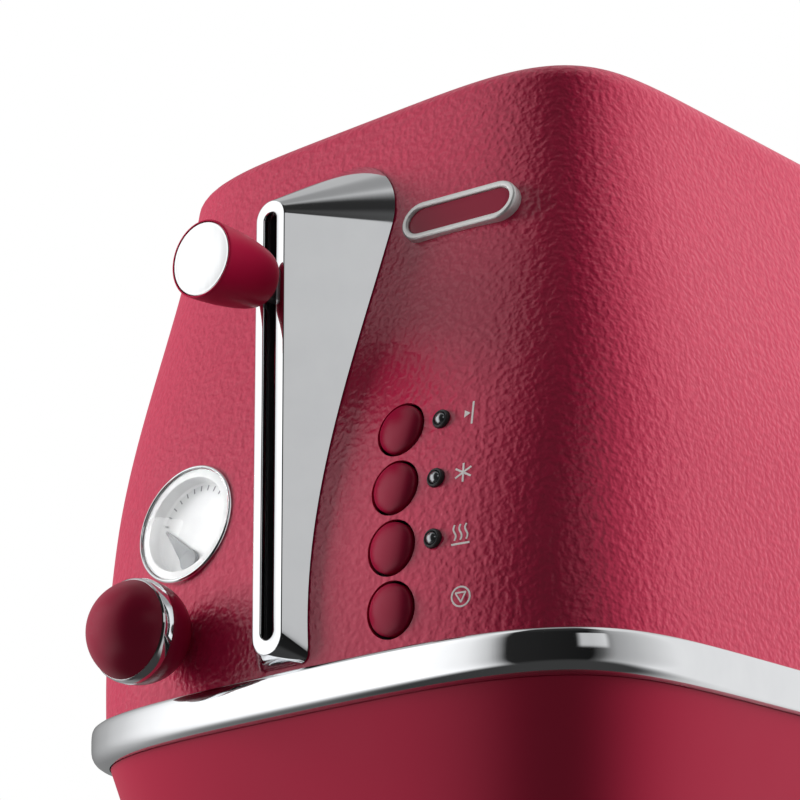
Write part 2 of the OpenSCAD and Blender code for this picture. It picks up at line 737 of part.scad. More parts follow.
module power_board() {
    color(board_green) difference() {
        translate([-64, power_board_y[0], board_z]) cube([120, power_board_y[1] - power_board_y[0], board_t]);
        for (p = board_screw_places) translate([p[0], p[1], board_z - over]) cylinder(r = 1.3, h = 4, $fn = 32);
        translate([0, rod_y, board_z - over]) cylinder(r = rod_r + gap, h = 4, $fn = 48);
    }
    // transformer, relay and terminal block
    color(black) {
        translate([-46, power_board_y[0] + 8, board_z + board_t / 2]) cube([20, 18, 17]);
        translate([-20, power_board_y[0] + 14, board_z + board_t / 2]) cube([10, 12, 12]);
        translate([32, power_board_y[0] + 10, board_z + board_t / 2]) cube([12, 16, 11]);
    }
}

module board_screws() {
    color(steel) {
        for (p = board_screw_places) translate([p[0], p[1], board_z + board_t]) {
            cylinder(r = 2.6, h = 1.4, $fn = 32);
            translate([0, 0, -6]) cylinder(r = 1.25, h = 6.5, $fn = 32);
        }
        for (x = [button_x - 12, button_x + 25], z = [body_z + 5, body_z + 66])
            translate([x, board_y + board_t, z]) rotate([-90, 0, 0]) {
                cylinder(r = 2.6, h = 1.4, $fn = 32);
                translate([0, 0, -6]) cylinder(r = 1.25, h = 6.5, $fn = 32);
            }
    }
}

// ---- Toasting chassis ----

frame_half_w = 58;
frame_high = top_z - collar_h - 2;
pivot_z = body_z + 2;
pivot_r = 1.5;
guide_xs = [for (s = [-1, 1], g = [-1, 1]) s * slot_pitch / 2 + g * guide_gap];
card_x = [slot_pitch / 2 - 20.5, slot_pitch / 2 + 21.5];
card_low = body_z - 6;
card_high = frame_high - 8;
tray_half_w = 50;
tray_low = plate_z + 8.6;
tray_h = 8;
tray_back = frame_y - 4;
runner_x = tray_half_w - 6;
rod_y = -frame_y - 16;
tab_t = 2;
tab_low = body_z - 18;
tab_high = top_z - 14;

module end_frame() {
    difference() {
        translate([-frame_half_w, 0, plate_z + plate_t]) cube([2 * frame_half_w, frame_t, frame_high - plate_z - plate_t]);
        for (x = guide_xs) translate([x, -over, pivot_z]) rotate([-90, 0, 0])
            cylinder(r = pivot_r + fit, h = frame_t + 2 * over, $fn = 32);
    }
}

module front_frame() {
    color(steel) difference() {
        union() {
            translate([0, -frame_y - frame_t, 0]) end_frame();
            for (z = [tab_low, tab_high]) translate([-8, rod_y - 6, z]) cube([16, -frame_y - rod_y - frame_t / 2 + 6, tab_t]);
        }
        for (x = [-1, 1]) translate([x * slot_pitch / 2 - 4, -frame_y - frame_t - over, body_z + lifter_z - lever_drop - 8])
            cube([8, frame_t + 2 * over, lever_drop + lever_lift + 18]);
        translate([0, rod_y, tab_low - over]) cylinder(r = rod_r + 0.05, h = body_h + 60, $fn = 48);
    }
}

module rear_frame() {
    color(steel) difference() {
        translate([0, frame_y, 0]) end_frame();
        tray_way(tray_half_w + 1, tray_low - 1.5, tray_low + tray_h + 2);
    }
}

module reflector(side) {
    color(steel) translate([side * 54 - 0.4, -frame_y, body_z - 10]) cube([0.8, 2 * frame_y, frame_high - body_z + 6]);
}

module heater(x) {
    color(mica) translate([x - 0.5, -frame_y, card_low]) cube([1, 2 * frame_y, card_high - card_low]);
}

module heating_wires() {
    rows = 12;
    pitch = (card_high - card_low - 24) / (rows - 1);
    color([0.5, 0.42, 0.36]) for (s = [-1, 1], c = [0, 1], i = [0:rows - 1]) {
        face = c == 0 ? s * (card_x[0] + 0.5) : s * (card_x[1] - 0.5);
        out = c == 0 ? s : -s;
        translate([min(face, face + out * 0.4), -frame_y + 7, card_low + 12 + i * pitch - 0.8])
            cube([0.4, 2 * frame_y - 14, 1.6]);
    }
}

module bread_guide(x) {
    high = card_high - 10;
    wires = 9;
    span = frame_y - 8;
    color(bright) {
        translate([x, -frame_y - frame_t, pivot_z]) rotate([-90, 0, 0])
            cylinder(r = pivot_r, h = 2 * (frame_y + frame_t), $fn = 32);
        translate([x, -span, high]) rotate([-90, 0, 0]) cylinder(r = 1.2, h = 2 * span, $fn = 32);
        for (i = [0:wires - 1]) translate([x, -span + 2 + i * (2 * span - 4) / (wires - 1), pivot_z])
            cylinder(r = 0.9, h = high - pivot_z, $fn = 24);
    }
}

// ---- Carriage ----

sleeve_low = lever_at - 16;
sleeve_high = lever_at + 16;
boss_back = -rod_y + 9;
plate_y = rod_y + 7;
lifter_at = body_z + lifter_z;

module carriage() {
    color(steel) difference() {
        union() {
            translate([0, rod_y, sleeve_low]) cylinder(r = rod_r + 2.6, h = sleeve_high - sleeve_low, $fn = 64);
            translate([-slot_pitch / 2 - 6, plate_y - 2, lifter_at - 6]) cube([slot_pitch + 12, 2, lever_at - lifter_at + 14]);
            translate([-2.5, rod_y + rod_r + 0.6, sleeve_low]) cube([5, 5, sleeve_high - sleeve_low - 8]);
            translate([-4.2, rod_y - 12, lever_at - blade_h / 2 - 2]) cube([8.4, 9.5, blade_h + 4]);
            translate([magnet_x - 4, plate_y - 10, lifter_at - 6]) cube([8, 9, 3]);
        }
        translate([0, rod_y, sleeve_low - over]) cylinder(r = rod_r + fit, h = 60, $fn = 64);
        translate([-blade_t / 2 - 0.05, -boss_back - 6, lever_at - blade_h / 2 - 0.05])
            cube([blade_t + 0.1, 6.05, blade_h + 0.1]);
    }
}

module guide_rod() {
    color(bright) translate([0, rod_y, plate_z + plate_t]) cylinder(r = rod_r, h = tab_high + tab_t + 4 - plate_z - plate_t, $fn = 64);
}

module lifter(side) {
    ribs = 9;
    color(steel) translate([side * slot_pitch / 2, 0, lifter_at]) {
        translate([-1.5, plate_y + 0.05, -3]) cube([3, frame_y - 6 - plate_y, 5]);
        for (i = [0:ribs - 1]) translate([-11, -frame_y + 10 + i * (2 * frame_y - 22) / (ribs - 1), 0])
            cube([22, 2.4, 2]);
    }
}

spring_r = 4.8;
spring_turns = 9;
spring_wire = 0.6;

module lift_spring() {
    low = sleeve_high + spring_wire + gap;
    high = tab_high - spring_wire - seat;
    steps = 12;
    sides = 6;
    count = spring_turns * steps;
    path = [for (i = [0:count]) let (a = 360 * i / steps)
        [spring_r * cos(a), spring_r * sin(a), low + (high - low) * i / count]];
    points = [for (i = [0:count], j = [0:sides - 1]) let (a = 360 * i / steps, b = 360 * j / sides)
        path[i] + spring_wire * [cos(b) * cos(a), cos(b) * sin(a), sin(b)]];
    walls = [for (i = [0:count - 1], j = [0:sides - 1])
        let (p = i * sides + j, q = i * sides + (j + 1) % sides, r = q + sides, s = p + sides)
        each [[p, s, r], [p, r, q]]];
    ends = concat([for (j = [1:sides - 2]) [0, j, j + 1]],
        [for (j = [1:sides - 2]) [count * sides, count * sides + j + 1, count * sides + j]]);
    color(bright) translate([0, rod_y, 0]) polyhedron(points = points, faces = concat(walls, ends), convexity = 20);
}

magnet_x = 20;
magnet_low = board_z + board_t;

module electromagnet() {
    high = lifter_at - 6 - 2 - lever_drop - gap;
    color([0.45, 0.2, 0.1]) translate([magnet_x - 7, plate_y - 17, magnet_low]) cube([14, 14, high - magnet_low - 1.5]);
    color(steel) translate([magnet_x - 4, plate_y - 14, magnet_low + 1]) cube([8, 8, high - magnet_low - 1]);
}

module armature() {
    color(steel) translate([magnet_x - 6, plate_y - 15, lifter_at - 6 - 2]) cube([12, 12.5, 1.95]);
}

// ---- Crumb tray and cord gland ----

gland_r = 4.6;
gland_z = band_z - gland_r - 1.6;
gland_out = 4.5;         // how far the gland stands out of the skirt
tray_end = body_l / 2 - skirt_inset(tray_low) - skirt_wall - 1;

// The way that the crumb tray slides out at the back
module tray_way(half, low, high) {
    translate([-half, frame_y - over, low]) cube([2 * half, body_l / 2, high - low]);
}

module crumb_tray() {
    color(steel) difference() {
        translate([-tray_half_w, -frame_y + 5, tray_low]) cube([2 * tray_half_w, tray_end + frame_y - 5 - 5, tray_h]);
        translate([-tray_half_w + 1, -frame_y + 6, tray_low + 1]) cube([2 * tray_half_w - 2, tray_end + frame_y - 5 - 7, tray_h]);
    }
}

module tray_handle() {
    inset = skirt_inset(tray_low + tray_h / 2);
    w = body_w / 2 - inset;
    l = body_l / 2 - inset;
    color(skirt_red) translate([0, 0, tray_low - 1]) {
        intersection() {
            linear_extrude(tray_h + 2.4) difference() {
                polygon(outline(w + 1.6, l + 1.6, end_bow));
                polygon(outline(w - 3, l - 3, end_bow));
            }
            translate([-tray_half_w - 0.5, 60, -over]) cube([2 * tray_half_w + 1, body_l, 30]);
        }
        translate([-20, tray_end - 4.95, 1.2]) cube([40, l - tray_end + 3, 1.8]);
    }
}

module cord_gland() {
    y = body_l / 2 - skirt_inset(gland_z);
    color(black) translate([0, y + gland_out, gland_z]) rotate([90, 0, 0]) difference() {
        union() {
            cylinder(r = gland_r - 0.05, h = 13, $fn = 64);
            cylinder(r1 = gland_r + 0.8, r2 = gland_r + 1.3, h = gland_out - 2, $fn = 64);
        }
        translate([0, 0, -over]) cylinder(r = 3.2, h = 9, $fn = 64);
    }
}

// The origin is under the middle of everything, from the lever knob to the cord gland
rear_reach = max(body_l / 2 + band_proud, body_l / 2 - skirt_inset(gland_z) + gland_out);
centre_shift = (-cap_y - rear_reach) / 2;
module placed() { translate([0, centre_shift, 0]) children(); }

placed() body_shell();
placed() top_deck();
placed() chrome_band();
placed() base_skirt();
placed() base_plate();
placed() feet();
placed() lever_fin();
placed() slot_liner();
placed() lever_arm();
placed() lever_knob();
placed() lever_cap();
placed() gauge_bezel();
placed() gauge_lens();
placed() gauge_dial();
placed() gauge_needle();
placed() gauge_housing();
placed() knob_front();
placed() knob_ring();
placed() knob_back();
placed() knob_shaft();
placed() potentiometer();
placed() button(0);  // button_cancel
placed() button(1);  // button_reheat
placed() button(2);  // button_defrost
placed() button(3);  // button_bagel
placed() indicator_lamps();
placed() badge_frame();
placed() badge_plate();
placed() control_bracket();
placed() control_board();
placed() button_switches();
placed() front_frame();
placed() rear_frame();
placed() reflector(-1);  // left_reflector
placed() reflector(1);  // right_reflector
placed() heater(-card_x[1]);  // heater_left_outer
placed() heater(-card_x[0]);  // heater_left_inner
placed() heater(card_x[0]);  // heater_right_inner
placed() heater(card_x[1]);  // heater_right_outer
placed() heating_wires();
placed() bread_guide(-slot_pitch / 2 - guide_gap);  // guide_left_outer
placed() bread_guide(-slot_pitch / 2 + guide_gap);  // guide_left_inner
placed() bread_guide(slot_pitch / 2 - guide_gap);  // guide_right_inner
placed() bread_guide(slot_pitch / 2 + guide_gap);  // guide_right_outer
placed() carriage();
placed() guide_rod();
placed() lifter(-1);  // lifter_left
placed() lifter(1);  // lifter_right
placed() lift_spring();
placed() electromagnet();
placed() armature();
placed() power_board();
placed() crumb_tray();
placed() tray_handle();
placed() cord_gland();
placed() base_screws();
placed() board_screws();
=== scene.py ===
import json
from math import asin, atan, cos, pi, radians, sin, sqrt, tan, tau
import bpy
import bmesh
import numpy as np
from mathutils import Matrix, Vector


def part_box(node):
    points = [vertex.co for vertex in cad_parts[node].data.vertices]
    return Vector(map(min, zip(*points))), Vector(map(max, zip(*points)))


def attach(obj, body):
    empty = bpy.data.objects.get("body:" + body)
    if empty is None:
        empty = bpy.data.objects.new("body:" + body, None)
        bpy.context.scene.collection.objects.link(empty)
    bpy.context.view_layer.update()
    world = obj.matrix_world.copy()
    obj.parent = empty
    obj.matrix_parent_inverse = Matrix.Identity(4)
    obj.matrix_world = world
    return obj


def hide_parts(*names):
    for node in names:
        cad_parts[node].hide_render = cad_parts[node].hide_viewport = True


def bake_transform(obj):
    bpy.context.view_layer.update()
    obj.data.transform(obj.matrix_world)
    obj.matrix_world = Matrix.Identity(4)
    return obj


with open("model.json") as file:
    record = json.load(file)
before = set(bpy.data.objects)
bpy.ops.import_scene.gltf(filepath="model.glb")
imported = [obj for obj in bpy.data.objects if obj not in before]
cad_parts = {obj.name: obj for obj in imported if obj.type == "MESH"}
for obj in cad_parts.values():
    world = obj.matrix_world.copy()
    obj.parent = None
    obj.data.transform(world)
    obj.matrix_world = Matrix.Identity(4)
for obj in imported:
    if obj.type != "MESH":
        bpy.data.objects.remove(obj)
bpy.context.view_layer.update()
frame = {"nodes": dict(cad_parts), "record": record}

bodyOf = {node: body for body, nodes in frame["record"]["behaviour"]["bodies"].items() for node in nodes}
mm = 0.001
print("frame loaded with", len(bodyOf), "nodes")


# ---- node graphs ----

class Wire:
    # a socket that can be used in sums

    def __init__(self, graph, socket):
        self.graph = graph
        self.socket = socket

    def sum(self, operation, first, second):
        return self.graph.node("ShaderNodeMath", {"operation": operation}, {0: first, 1: second})

    def __add__(self, other):
        return self.sum("ADD", self, other)

    def __radd__(self, other):
        return self.sum("ADD", other, self)

    def __sub__(self, other):
        return self.sum("SUBTRACT", self, other)

    def __rsub__(self, other):
        return self.sum("SUBTRACT", other, self)

    def __mul__(self, other):
        return self.sum("MULTIPLY", self, other)

    def __rmul__(self, other):
        return self.sum("MULTIPLY", other, self)

    def __truediv__(self, other):
        return self.sum("DIVIDE", self, other)

    def __neg__(self):
        return self.sum("MULTIPLY", self, -1)


class Graph:
    def __init__(self, tree):
        self.tree = tree

    def node(self, kind, settings=None, values=None, out=0):
        made = self.tree.nodes.new(kind)
        for key, value in (settings or {}).items():
            if key == "stops":
                while len(made.color_ramp.elements) < len(value):
                    made.color_ramp.elements.new(0.5)
                for element, (place, colour) in zip(made.color_ramp.elements, value):
                    element.position = place
                    element.color = (*colour, 1)
            else:
                setattr(made, key, value)
        for key, value in (values or {}).items():
            for each in value if isinstance(value, list) else [value]:
                if isinstance(each, Wire):
                    self.tree.links.new(each.socket, made.inputs[key])
                else:
                    made.inputs[key].default_value = each
        return Wire(self, made.outputs[out])

    def ramp(self, value, low, high, fromLow, fromHigh):
        return self.node("ShaderNodeMapRange", {"interpolation_type": "SMOOTHSTEP"},
                         {0: value, 1: fromLow, 2: fromHigh, 3: low, 4: high})


class Finish(Graph):
    # a surface made of nodes

    def __init__(self, name):
        self.material = bpy.data.materials.new(name)
        self.material.use_nodes = True
        super().__init__(self.material.node_tree)
        self.tree.nodes.clear()
        self.place = self.node("ShaderNodeTexCoord", out="Object")

    def stretched(self, x, y, z):
        return self.node("ShaderNodeMapping", values={"Vector": self.place, "Scale": (x, y, z)})

    def noise(self, scale, detail, roughness=0.5, distortion=0, at=None):
        return self.node("ShaderNodeTexNoise", values={
            "Vector": at or self.place, "Scale": scale, "Detail": detail, "Roughness": roughness,
            "Distortion": distortion})

    def cells(self, scale, feature="F1"):
        return self.node("ShaderNodeTexVoronoi", {"feature": feature}, {"Vector": self.place, "Scale": scale})

    def blend(self, first, second, factor):
        values = {0: factor, 6: (*first, 1), 7: (*second, 1)}
        return self.node("ShaderNodeMix", {"data_type": "RGBA"}, values, out=2)

    def bump(self, height, distance, strength):
        values = {"Height": height, "Distance": distance, "Strength": strength}
        return self.node("ShaderNodeBump", values=values)

    def surface(self, **sockets):
        names = {"colour": "Base Color", "rough": "Roughness", "metal": "Metallic", "normal": "Normal",
                 "ior": "IOR", "coat": "Coat Weight", "coatRough": "Coat Roughness",
                 "through": "Transmission Weight", "spec": "Specular IOR Level"}
        values = {names[key]: (*value, 1) if key == "colour" and not isinstance(value, Wire) else value
                  for key, value in sockets.items()}
        self.finish(self.node("ShaderNodeBsdfPrincipled", values=values))
        return self.material

    def finish(self, shader):
        output = self.tree.nodes.new("ShaderNodeOutputMaterial")
        self.tree.links.new(shader.socket, output.inputs["Surface"])


# ---- finishes ----

lacquer = {
    "casingRed": (0.51, 0.011, 0.064),
    "deepRed": (0.43, 0.007, 0.052),
    "grain": 600,          # bumps in a metre
    "grainDepth": 0.00050,
}


def casingLacquer():
    f = Finish("casing lacquer")
    pebble = f.noise(lacquer["grain"], 1.4, 0.4)
    swell = f.noise(lacquer["grain"] * 0.42, 1)
    fine = f.noise(lacquer["grain"] * 3.2, 2)
    height = f.ramp(pebble, 0, 1, 0.18, 0.82) * 0.9 + swell * 0.5 + fine * 0.05
    drift = f.noise(9, 2)
    raised = f.ramp(pebble, 0, 1, 0.35, 0.7)
    colour = f.blend(lacquer["deepRed"], lacquer["casingRed"], raised * 0.6 + drift * 0.5)
    rough = 0.28 + f.noise(60, 2) * 0.05 + (1 - raised) * 0.06
    normal = f.bump(height, lacquer["grainDepth"], 0.42)
    return f.surface(colour=colour, rough=rough, normal=normal, spec=0.6)


def smoothLacquer(name, colour, rough, spec=0.5):
    f = Finish(name)
    peel = f.noise(900, 2) * 0.7 + f.noise(160, 1) * 0.5
    tint = f.blend(colour, tuple(c * 0.86 for c in colour), f.noise(14, 3))
    handled = rough + f.noise(45, 3) * 0.09
    return f.surface(colour=tint, rough=handled, normal=f.bump(peel, 0.00002, 0.5), spec=spec)


def polishedChrome(name, rough):
    f = Finish(name)
    smear = f.noise(55, 3, 0.6)
    scratch = f.noise(1400, 2, 0.5, 0, f.stretched(1, 1, 0.05))
    colour = f.blend((0.80, 0.81, 0.82), (0.70, 0.71, 0.73), smear)
    return f.surface(colour=colour, metal=1.0, rough=rough + f.ramp(smear, 0, 0.035, 0.4, 0.75),
                     normal=f.bump(scratch, 0.000004, 0.35))


def brushedSteel(name="brushed steel", along=(1, 0.03, 1), colour=(0.62, 0.63, 0.64), metal=1.0):
    f = Finish(name)
    streak = f.noise(1500, 3, 0.6, 0, f.stretched(*along))
    broad = f.noise(220, 2, 0.5, 0, f.stretched(*along))
    tint = f.blend(colour, tuple(c * 0.78 for c in colour), streak * 0.6 + broad * 0.4)
    normal = f.bump(streak, 0.00001, 0.5)
    return f.surface(colour=tint, metal=metal, rough=0.24 + streak * 0.16, normal=normal)


def zincSheet():
    f = Finish("zinc sheet")
    spangle = f.node("ShaderNodeTexVoronoi", values={"Vector": f.place, "Scale": 130}, out="Color")
    grain = f.node("ShaderNodeSeparateColor", values={"Color": spangle}, out=0)
    stain = f.noise(20, 4)
    tint = f.blend((0.50, 0.51, 0.53), (0.36, 0.36, 0.37), grain * 0.6 + stain * 0.4)
    normal = f.bump(f.noise(400, 2), 0.00002, 0.4)
    return f.surface(colour=tint, metal=0.95, rough=0.3 + grain * 0.18, normal=normal)


def mouldedBlack():
    f = Finish("moulded black")
    grit = f.noise(1800, 2) * 0.6 + f.cells(900) * 0.4
    tint = f.blend((0.012, 0.012, 0.013), (0.03, 0.03, 0.032), f.noise(70, 3))
    return f.surface(colour=tint, rough=0.45 + f.noise(120, 2) * 0.12, normal=f.bump(grit, 0.00003, 0.5))


def footRubber():
    f = Finish("foot rubber")
    dust = f.noise(260, 4)
    tint = f.blend((0.016, 0.016, 0.017), (0.06, 0.058, 0.055), f.ramp(dust, 0, 0.8, 0.45, 0.8))
    return f.surface(colour=tint, rough=0.72 + dust * 0.15, normal=f.bump(f.noise(1500, 2), 0.00004, 0.6))


def clearLens():
    f = Finish("clear lens")
    haze = f.noise(80, 3)
    return f.surface(colour=(1, 1, 1), rough=f.ramp(haze, 0.0, 0.03, 0.45, 0.8), through=1.0, ior=1.12)


def dialCard():
    f = Finish("dial card")
    fibre = f.noise(1200, 3)
    tint = f.blend((0.78, 0.79, 0.79), (0.66, 0.67, 0.68), f.ramp(f.noise(90, 2), 0, 1, 0.3, 0.8))
    return f.surface(colour=tint, rough=0.42 + fibre * 0.1, normal=f.bump(fibre, 0.00001, 0.4))


def needlePaint():
    f = Finish("needle paint")
    tint = f.blend((0.20, 0.21, 0.22), (0.27, 0.28, 0.29), f.noise(300, 2))
    return f.surface(colour=tint, rough=0.5 + f.noise(500, 2) * 0.1)


def lampDome():
    f = Finish("lamp dome")
    tint = f.blend((0.16, 0.17, 0.18), (0.42, 0.43, 0.45), f.noise(420, 2))
    return f.surface(colour=tint, rough=0.07 + f.noise(600, 2) * 0.05, metal=0.85, coat=1.0, coatRough=0.03)


def markPaint():
    f = Finish("mark paint")
    ink = f.noise(2500, 2)
    tint = f.blend((0.74, 0.68, 0.68), (0.86, 0.82, 0.81), ink)
    return f.surface(colour=tint, rough=0.5 + ink * 0.1, normal=f.bump(ink, 0.00001, 0.5))


def micaSheet():
    f = Finish("mica sheet")
    flake = f.cells(240)
    layer = f.noise(90, 4, 0.6, 0.4)
    tint = f.blend((0.50, 0.44, 0.33), (0.66, 0.61, 0.50), layer)
    return f.surface(colour=tint, rough=0.35 + flake * 0.3, normal=f.bump(layer + flake, 0.00004, 0.5))


def heatingRibbon():
    f = Finish("heating ribbon")
    scale = f.noise(700, 3)
    tint = f.blend((0.16, 0.13, 0.12), (0.34, 0.29, 0.26), scale)
    return f.surface(colour=tint, metal=0.8, rough=0.45 + scale * 0.2, normal=f.bump(scale, 0.00002, 0.5))


def circuitBoard():
    f = Finish("circuit board")
    track = f.ramp(f.cells(180, "DISTANCE_TO_EDGE"), 1, 0, 0.02, 0.06)
    tint = f.blend((0.02, 0.13, 0.05), (0.03, 0.24, 0.10), track)
    return f.surface(colour=tint, rough=0.35 + f.noise(300, 2) * 0.1, normal=f.bump(track, 0.00003, 0.4))


def copperCoil():
    f = Finish("copper coil")
    values = {"Vector": f.place, "Scale": 320, "Distortion": 0.2}
    turns = f.node("ShaderNodeTexWave", {"bands_direction": "Z"}, values)
    tint = f.blend((0.32, 0.10, 0.04), (0.62, 0.26, 0.12), turns)
    return f.surface(colour=tint, metal=0.9, rough=0.3 + turns * 0.15, normal=f.bump(turns, 0.0003, 0.6))


casingPaint = casingLacquer()
skirtPaint = smoothLacquer("skirt lacquer", (0.42, 0.010, 0.046), 0.36, 0.25)
controlPaint = smoothLacquer("control lacquer", (0.28, 0.002, 0.030), 0.30, 0.3)
# the lever knob's red is the control plastic's red painted lighter, as painted light on the knob's cone
leverLitPaint = smoothLacquer("lever lacquer", (0.50, 0.008, 0.055), 0.38, 0.15)
chrome = polishedChrome("polished chrome", 0.05)
satinChrome = polishedChrome("satin chrome", 0.14)
deckSteel = brushedSteel(metal=0.7)
capSteel = brushedSteel("cap steel", (1, 1, 0.04), (0.88, 0.89, 0.90))
badgeSilver = brushedSteel("badge silver", (0.1, 1, 1), (0.80, 0.80, 0.79), 0.35)
zinc = zincSheet()
blackPlastic = mouldedBlack()
rubber = footRubber()
lens = clearLens()
card = dialCard()
needleGrey = needlePaint()
domeGlass = lampDome()
markWhite = markPaint()
mica = micaSheet()
ribbon = heatingRibbon()
board = circuitBoard()
copper = copperCoil()
print("finishes made")


# ---- mesh helpers ----

def makePiece(name, points, faces, creaseAngle=32):
    mesh = bpy.data.meshes.new(name)
    mesh.from_pydata([tuple(p) for p in points], [], faces)
    return fromMesh(name, mesh, creaseAngle)


def fromMesh(name, mesh, creaseAngle=32):
    work = bmesh.new()
    work.from_mesh(mesh)
    bmesh.ops.remove_doubles(work, verts=work.verts, dist=1e-7)
    bmesh.ops.recalc_face_normals(work, faces=work.faces)
    work.to_mesh(mesh)
    work.free()
    piece = bpy.data.objects.new(name, mesh)
    bpy.context.scene.collection.objects.link(piece)
    smoothen(piece, creaseAngle)
    return piece


def smoothen(piece, creaseAngle=32):
    piece.data.polygons.foreach_set("use_smooth", [True] * len(piece.data.polygons))
    piece.data.set_sharp_from_angle(angle=radians(creaseAngle))


def settle(piece, finish, slot, *nodes, ride=True):
    piece.data.materials.clear()
    piece.data.materials.append(finish)
    if nodes:
        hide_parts(*nodes)
    if ride:
        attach(piece, bodyOf[nodes[0]] if nodes else "casing")


def dress(finish, *nodes):
    for node in nodes:
        for holder in frame["nodes"][node].material_slots:
            holder.material = finish


def bake(piece):
    # the piece's modifiers are worked into its mesh
    made = bpy.data.meshes.new_from_object(piece.evaluated_get(bpy.context.evaluated_depsgraph_get()))
    piece.modifiers.clear()
    piece.data = made


def cutAway(piece, cutters, creaseAngle=32):
    for cutter in cutters:
        change = piece.modifiers.new("cut", "BOOLEAN")
        change.operation = "DIFFERENCE"
        change.solver = "EXACT"
        change.object = cutter
    bake(piece)
    for cutter in cutters:
        bpy.data.objects.remove(cutter)
    smoothen(piece, creaseAngle)


def merge(name, pieces, creaseAngle=32):
    work = bmesh.new()
    for piece in pieces:
        work.from_mesh(piece.data)
    mesh = bpy.data.meshes.new(name)
    work.to_mesh(mesh)
    work.free()
    for piece in pieces:
        bpy.data.objects.remove(piece)
    whole = bpy.data.objects.new(name, mesh)
    bpy.context.scene.collection.objects.link(whole)
    smoothen(whole, creaseAngle)
    return whole


def loft(name, rings, closed=False, capped=False, creaseAngle=32):
    count = len(rings[0])
    points = [p for ring in rings for p in ring]
    faces = []
    for i in range(len(rings) if closed else len(rings) - 1):
        a, b = i * count, ((i + 1) % len(rings)) * count
        faces += [(a + j, a + (j + 1) % count, b + (j + 1) % count, b + j) for j in range(count)]
    if capped:
        faces.append(tuple(range(count))[::-1])
        faces.append(tuple(range((len(rings) - 1) * count, len(rings) * count)))
    return makePiece(name, points, faces, creaseAngle)


def revolve(name, profile, place=None, steps=96, closed=False, creaseAngle=32):
    # a profile of (radius, height) pairs, turned about Z
    place = place or Matrix()
    points, rows = [], []
    for radius, height in profile:
        if radius < 1e-9:
            rows.append([len(points)])
            points.append(place @ Vector((0, 0, height)))
            continue
        rows.append(list(range(len(points), len(points) + steps)))
        points += [place @ Vector((radius * cos(a), radius * sin(a), height))
                   for a in (2 * pi * k / steps for k in range(steps))]
    faces = []
    for i in range(len(rows) if closed else len(rows) - 1):
        low, high = rows[i], rows[(i + 1) % len(rows)]
        for k in range(steps):
            n = (k + 1) % steps
            if len(low) == 1 and len(high) == 1:
                continue
            if len(low) == 1:
                faces.append((low[0], high[n], high[k]))
            elif len(high) == 1:
                faces.append((low[k], low[n], high[0]))
            else:
                faces.append((low[k], low[n], high[n], high[k]))
    return makePiece(name, points, faces, creaseAngle)


def softened(corners, radius, steps=4, closed=False):
    # a polyline whose corners are rounded
    made = []
    count = len(corners)
    for i, corner in enumerate(corners):
        here = Vector(corner)
        if not closed and i in (0, count - 1):
            made.append(tuple(here))
            continue
        before, after = Vector(corners[i - 1]), Vector(corners[(i + 1) % count])
        reach = min(radius, (before - here).length * 0.48, (after - here).length * 0.48)
        start, end = here + (before - here).normalized() * reach, here + (after - here).normalized() * reach
        for k in range(steps + 1):
            t = k / steps
            made.append(tuple(start * (1 - t) ** 2 + here * 2 * t * (1 - t) + end * t ** 2))
    return made


def sized(*pairs):
    # pairs of millimetres, in metres
    return [(a * mm, b * mm) for a, b in pairs]


def outwards(x, y, z):
    # Z points out of the lever end, level
    return Matrix.Translation((x, y, z)) @ Matrix.Rotation(pi / 2, 4, "X")


def dome(radius, rise, steps):
    # the profile of a cap of a sphere, from its rim to its top
    ball = (radius * radius + rise * rise) / (2 * rise)
    turn = asin(radius / ball)
    return [(ball * sin(a), rise - ball + ball * cos(a)) for a in
            (turn * (1 - k / steps) for k in range(steps + 1))]


# ---- the casing's form ----

shellLow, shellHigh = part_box("body_shell")
bandLow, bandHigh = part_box("chrome_band")
skirtLow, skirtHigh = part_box("base_skirt")
casing = {
    "halfWidth": (shellHigh[0] - shellLow[0]) / 2,
    "halfLength": (shellHigh[1] - shellLow[1]) / 2,
    "middle": (shellHigh[1] + shellLow[1]) / 2,
    "foot": bandHigh[2],
    "top": shellHigh[2],
    "sideLean": 14.3 * mm, "sideFrom": 53 * mm, "sideRise": 124 * mm,
    "endLean": 33.8 * mm, "endFrom": 8 * mm, "endRise": 189 * mm,
    "endBow": 3.56, "bowGain": 1.0, "sideBow": 9.2,
    "roll": 8 * mm, "rollFrom": 8, "wall": 1 * mm, "mouthInset": 2 * mm,
}


def smoothStep(t):
    t = np.clip(t, 0, 1)
    return t * t * (3 - 2 * t)


def sideAt(z):
    share = smoothStep((z - casing["foot"] - casing["sideFrom"]) / casing["sideRise"])
    return casing["halfWidth"] - casing["sideLean"] * share


def endAt(z):
    share = smoothStep((z - casing["foot"] - casing["endFrom"]) / casing["endRise"])
    return casing["halfLength"] - casing["endLean"] * share


def bowAt(z):
    share = np.clip((z - casing["foot"]) / (casing["top"] - casing["foot"]), 0, 1)
    return casing["endBow"] + casing["bowGain"] * share


def faceY(x, z):
    along = min(abs(x) / sideAt(z), 0.999) ** bowAt(z)
    return casing["middle"] - endAt(z) * (1 - along) ** (1 / casing["sideBow"])


def faceTilt(x, z):
    return atan((faceY(x, z + 0.5 * mm) - faceY(x, z - 0.5 * mm)) / mm)


def onFace(x, z):
    # Z points out of the lever end's face and Y up it
    tilt = faceTilt(x, z)
    return Matrix(((1, 0, 0, x), (0, sin(tilt), -cos(tilt), faceY(x, z)),
                   (0, cos(tilt), sin(tilt), z), (0, 0, 0, 1)))


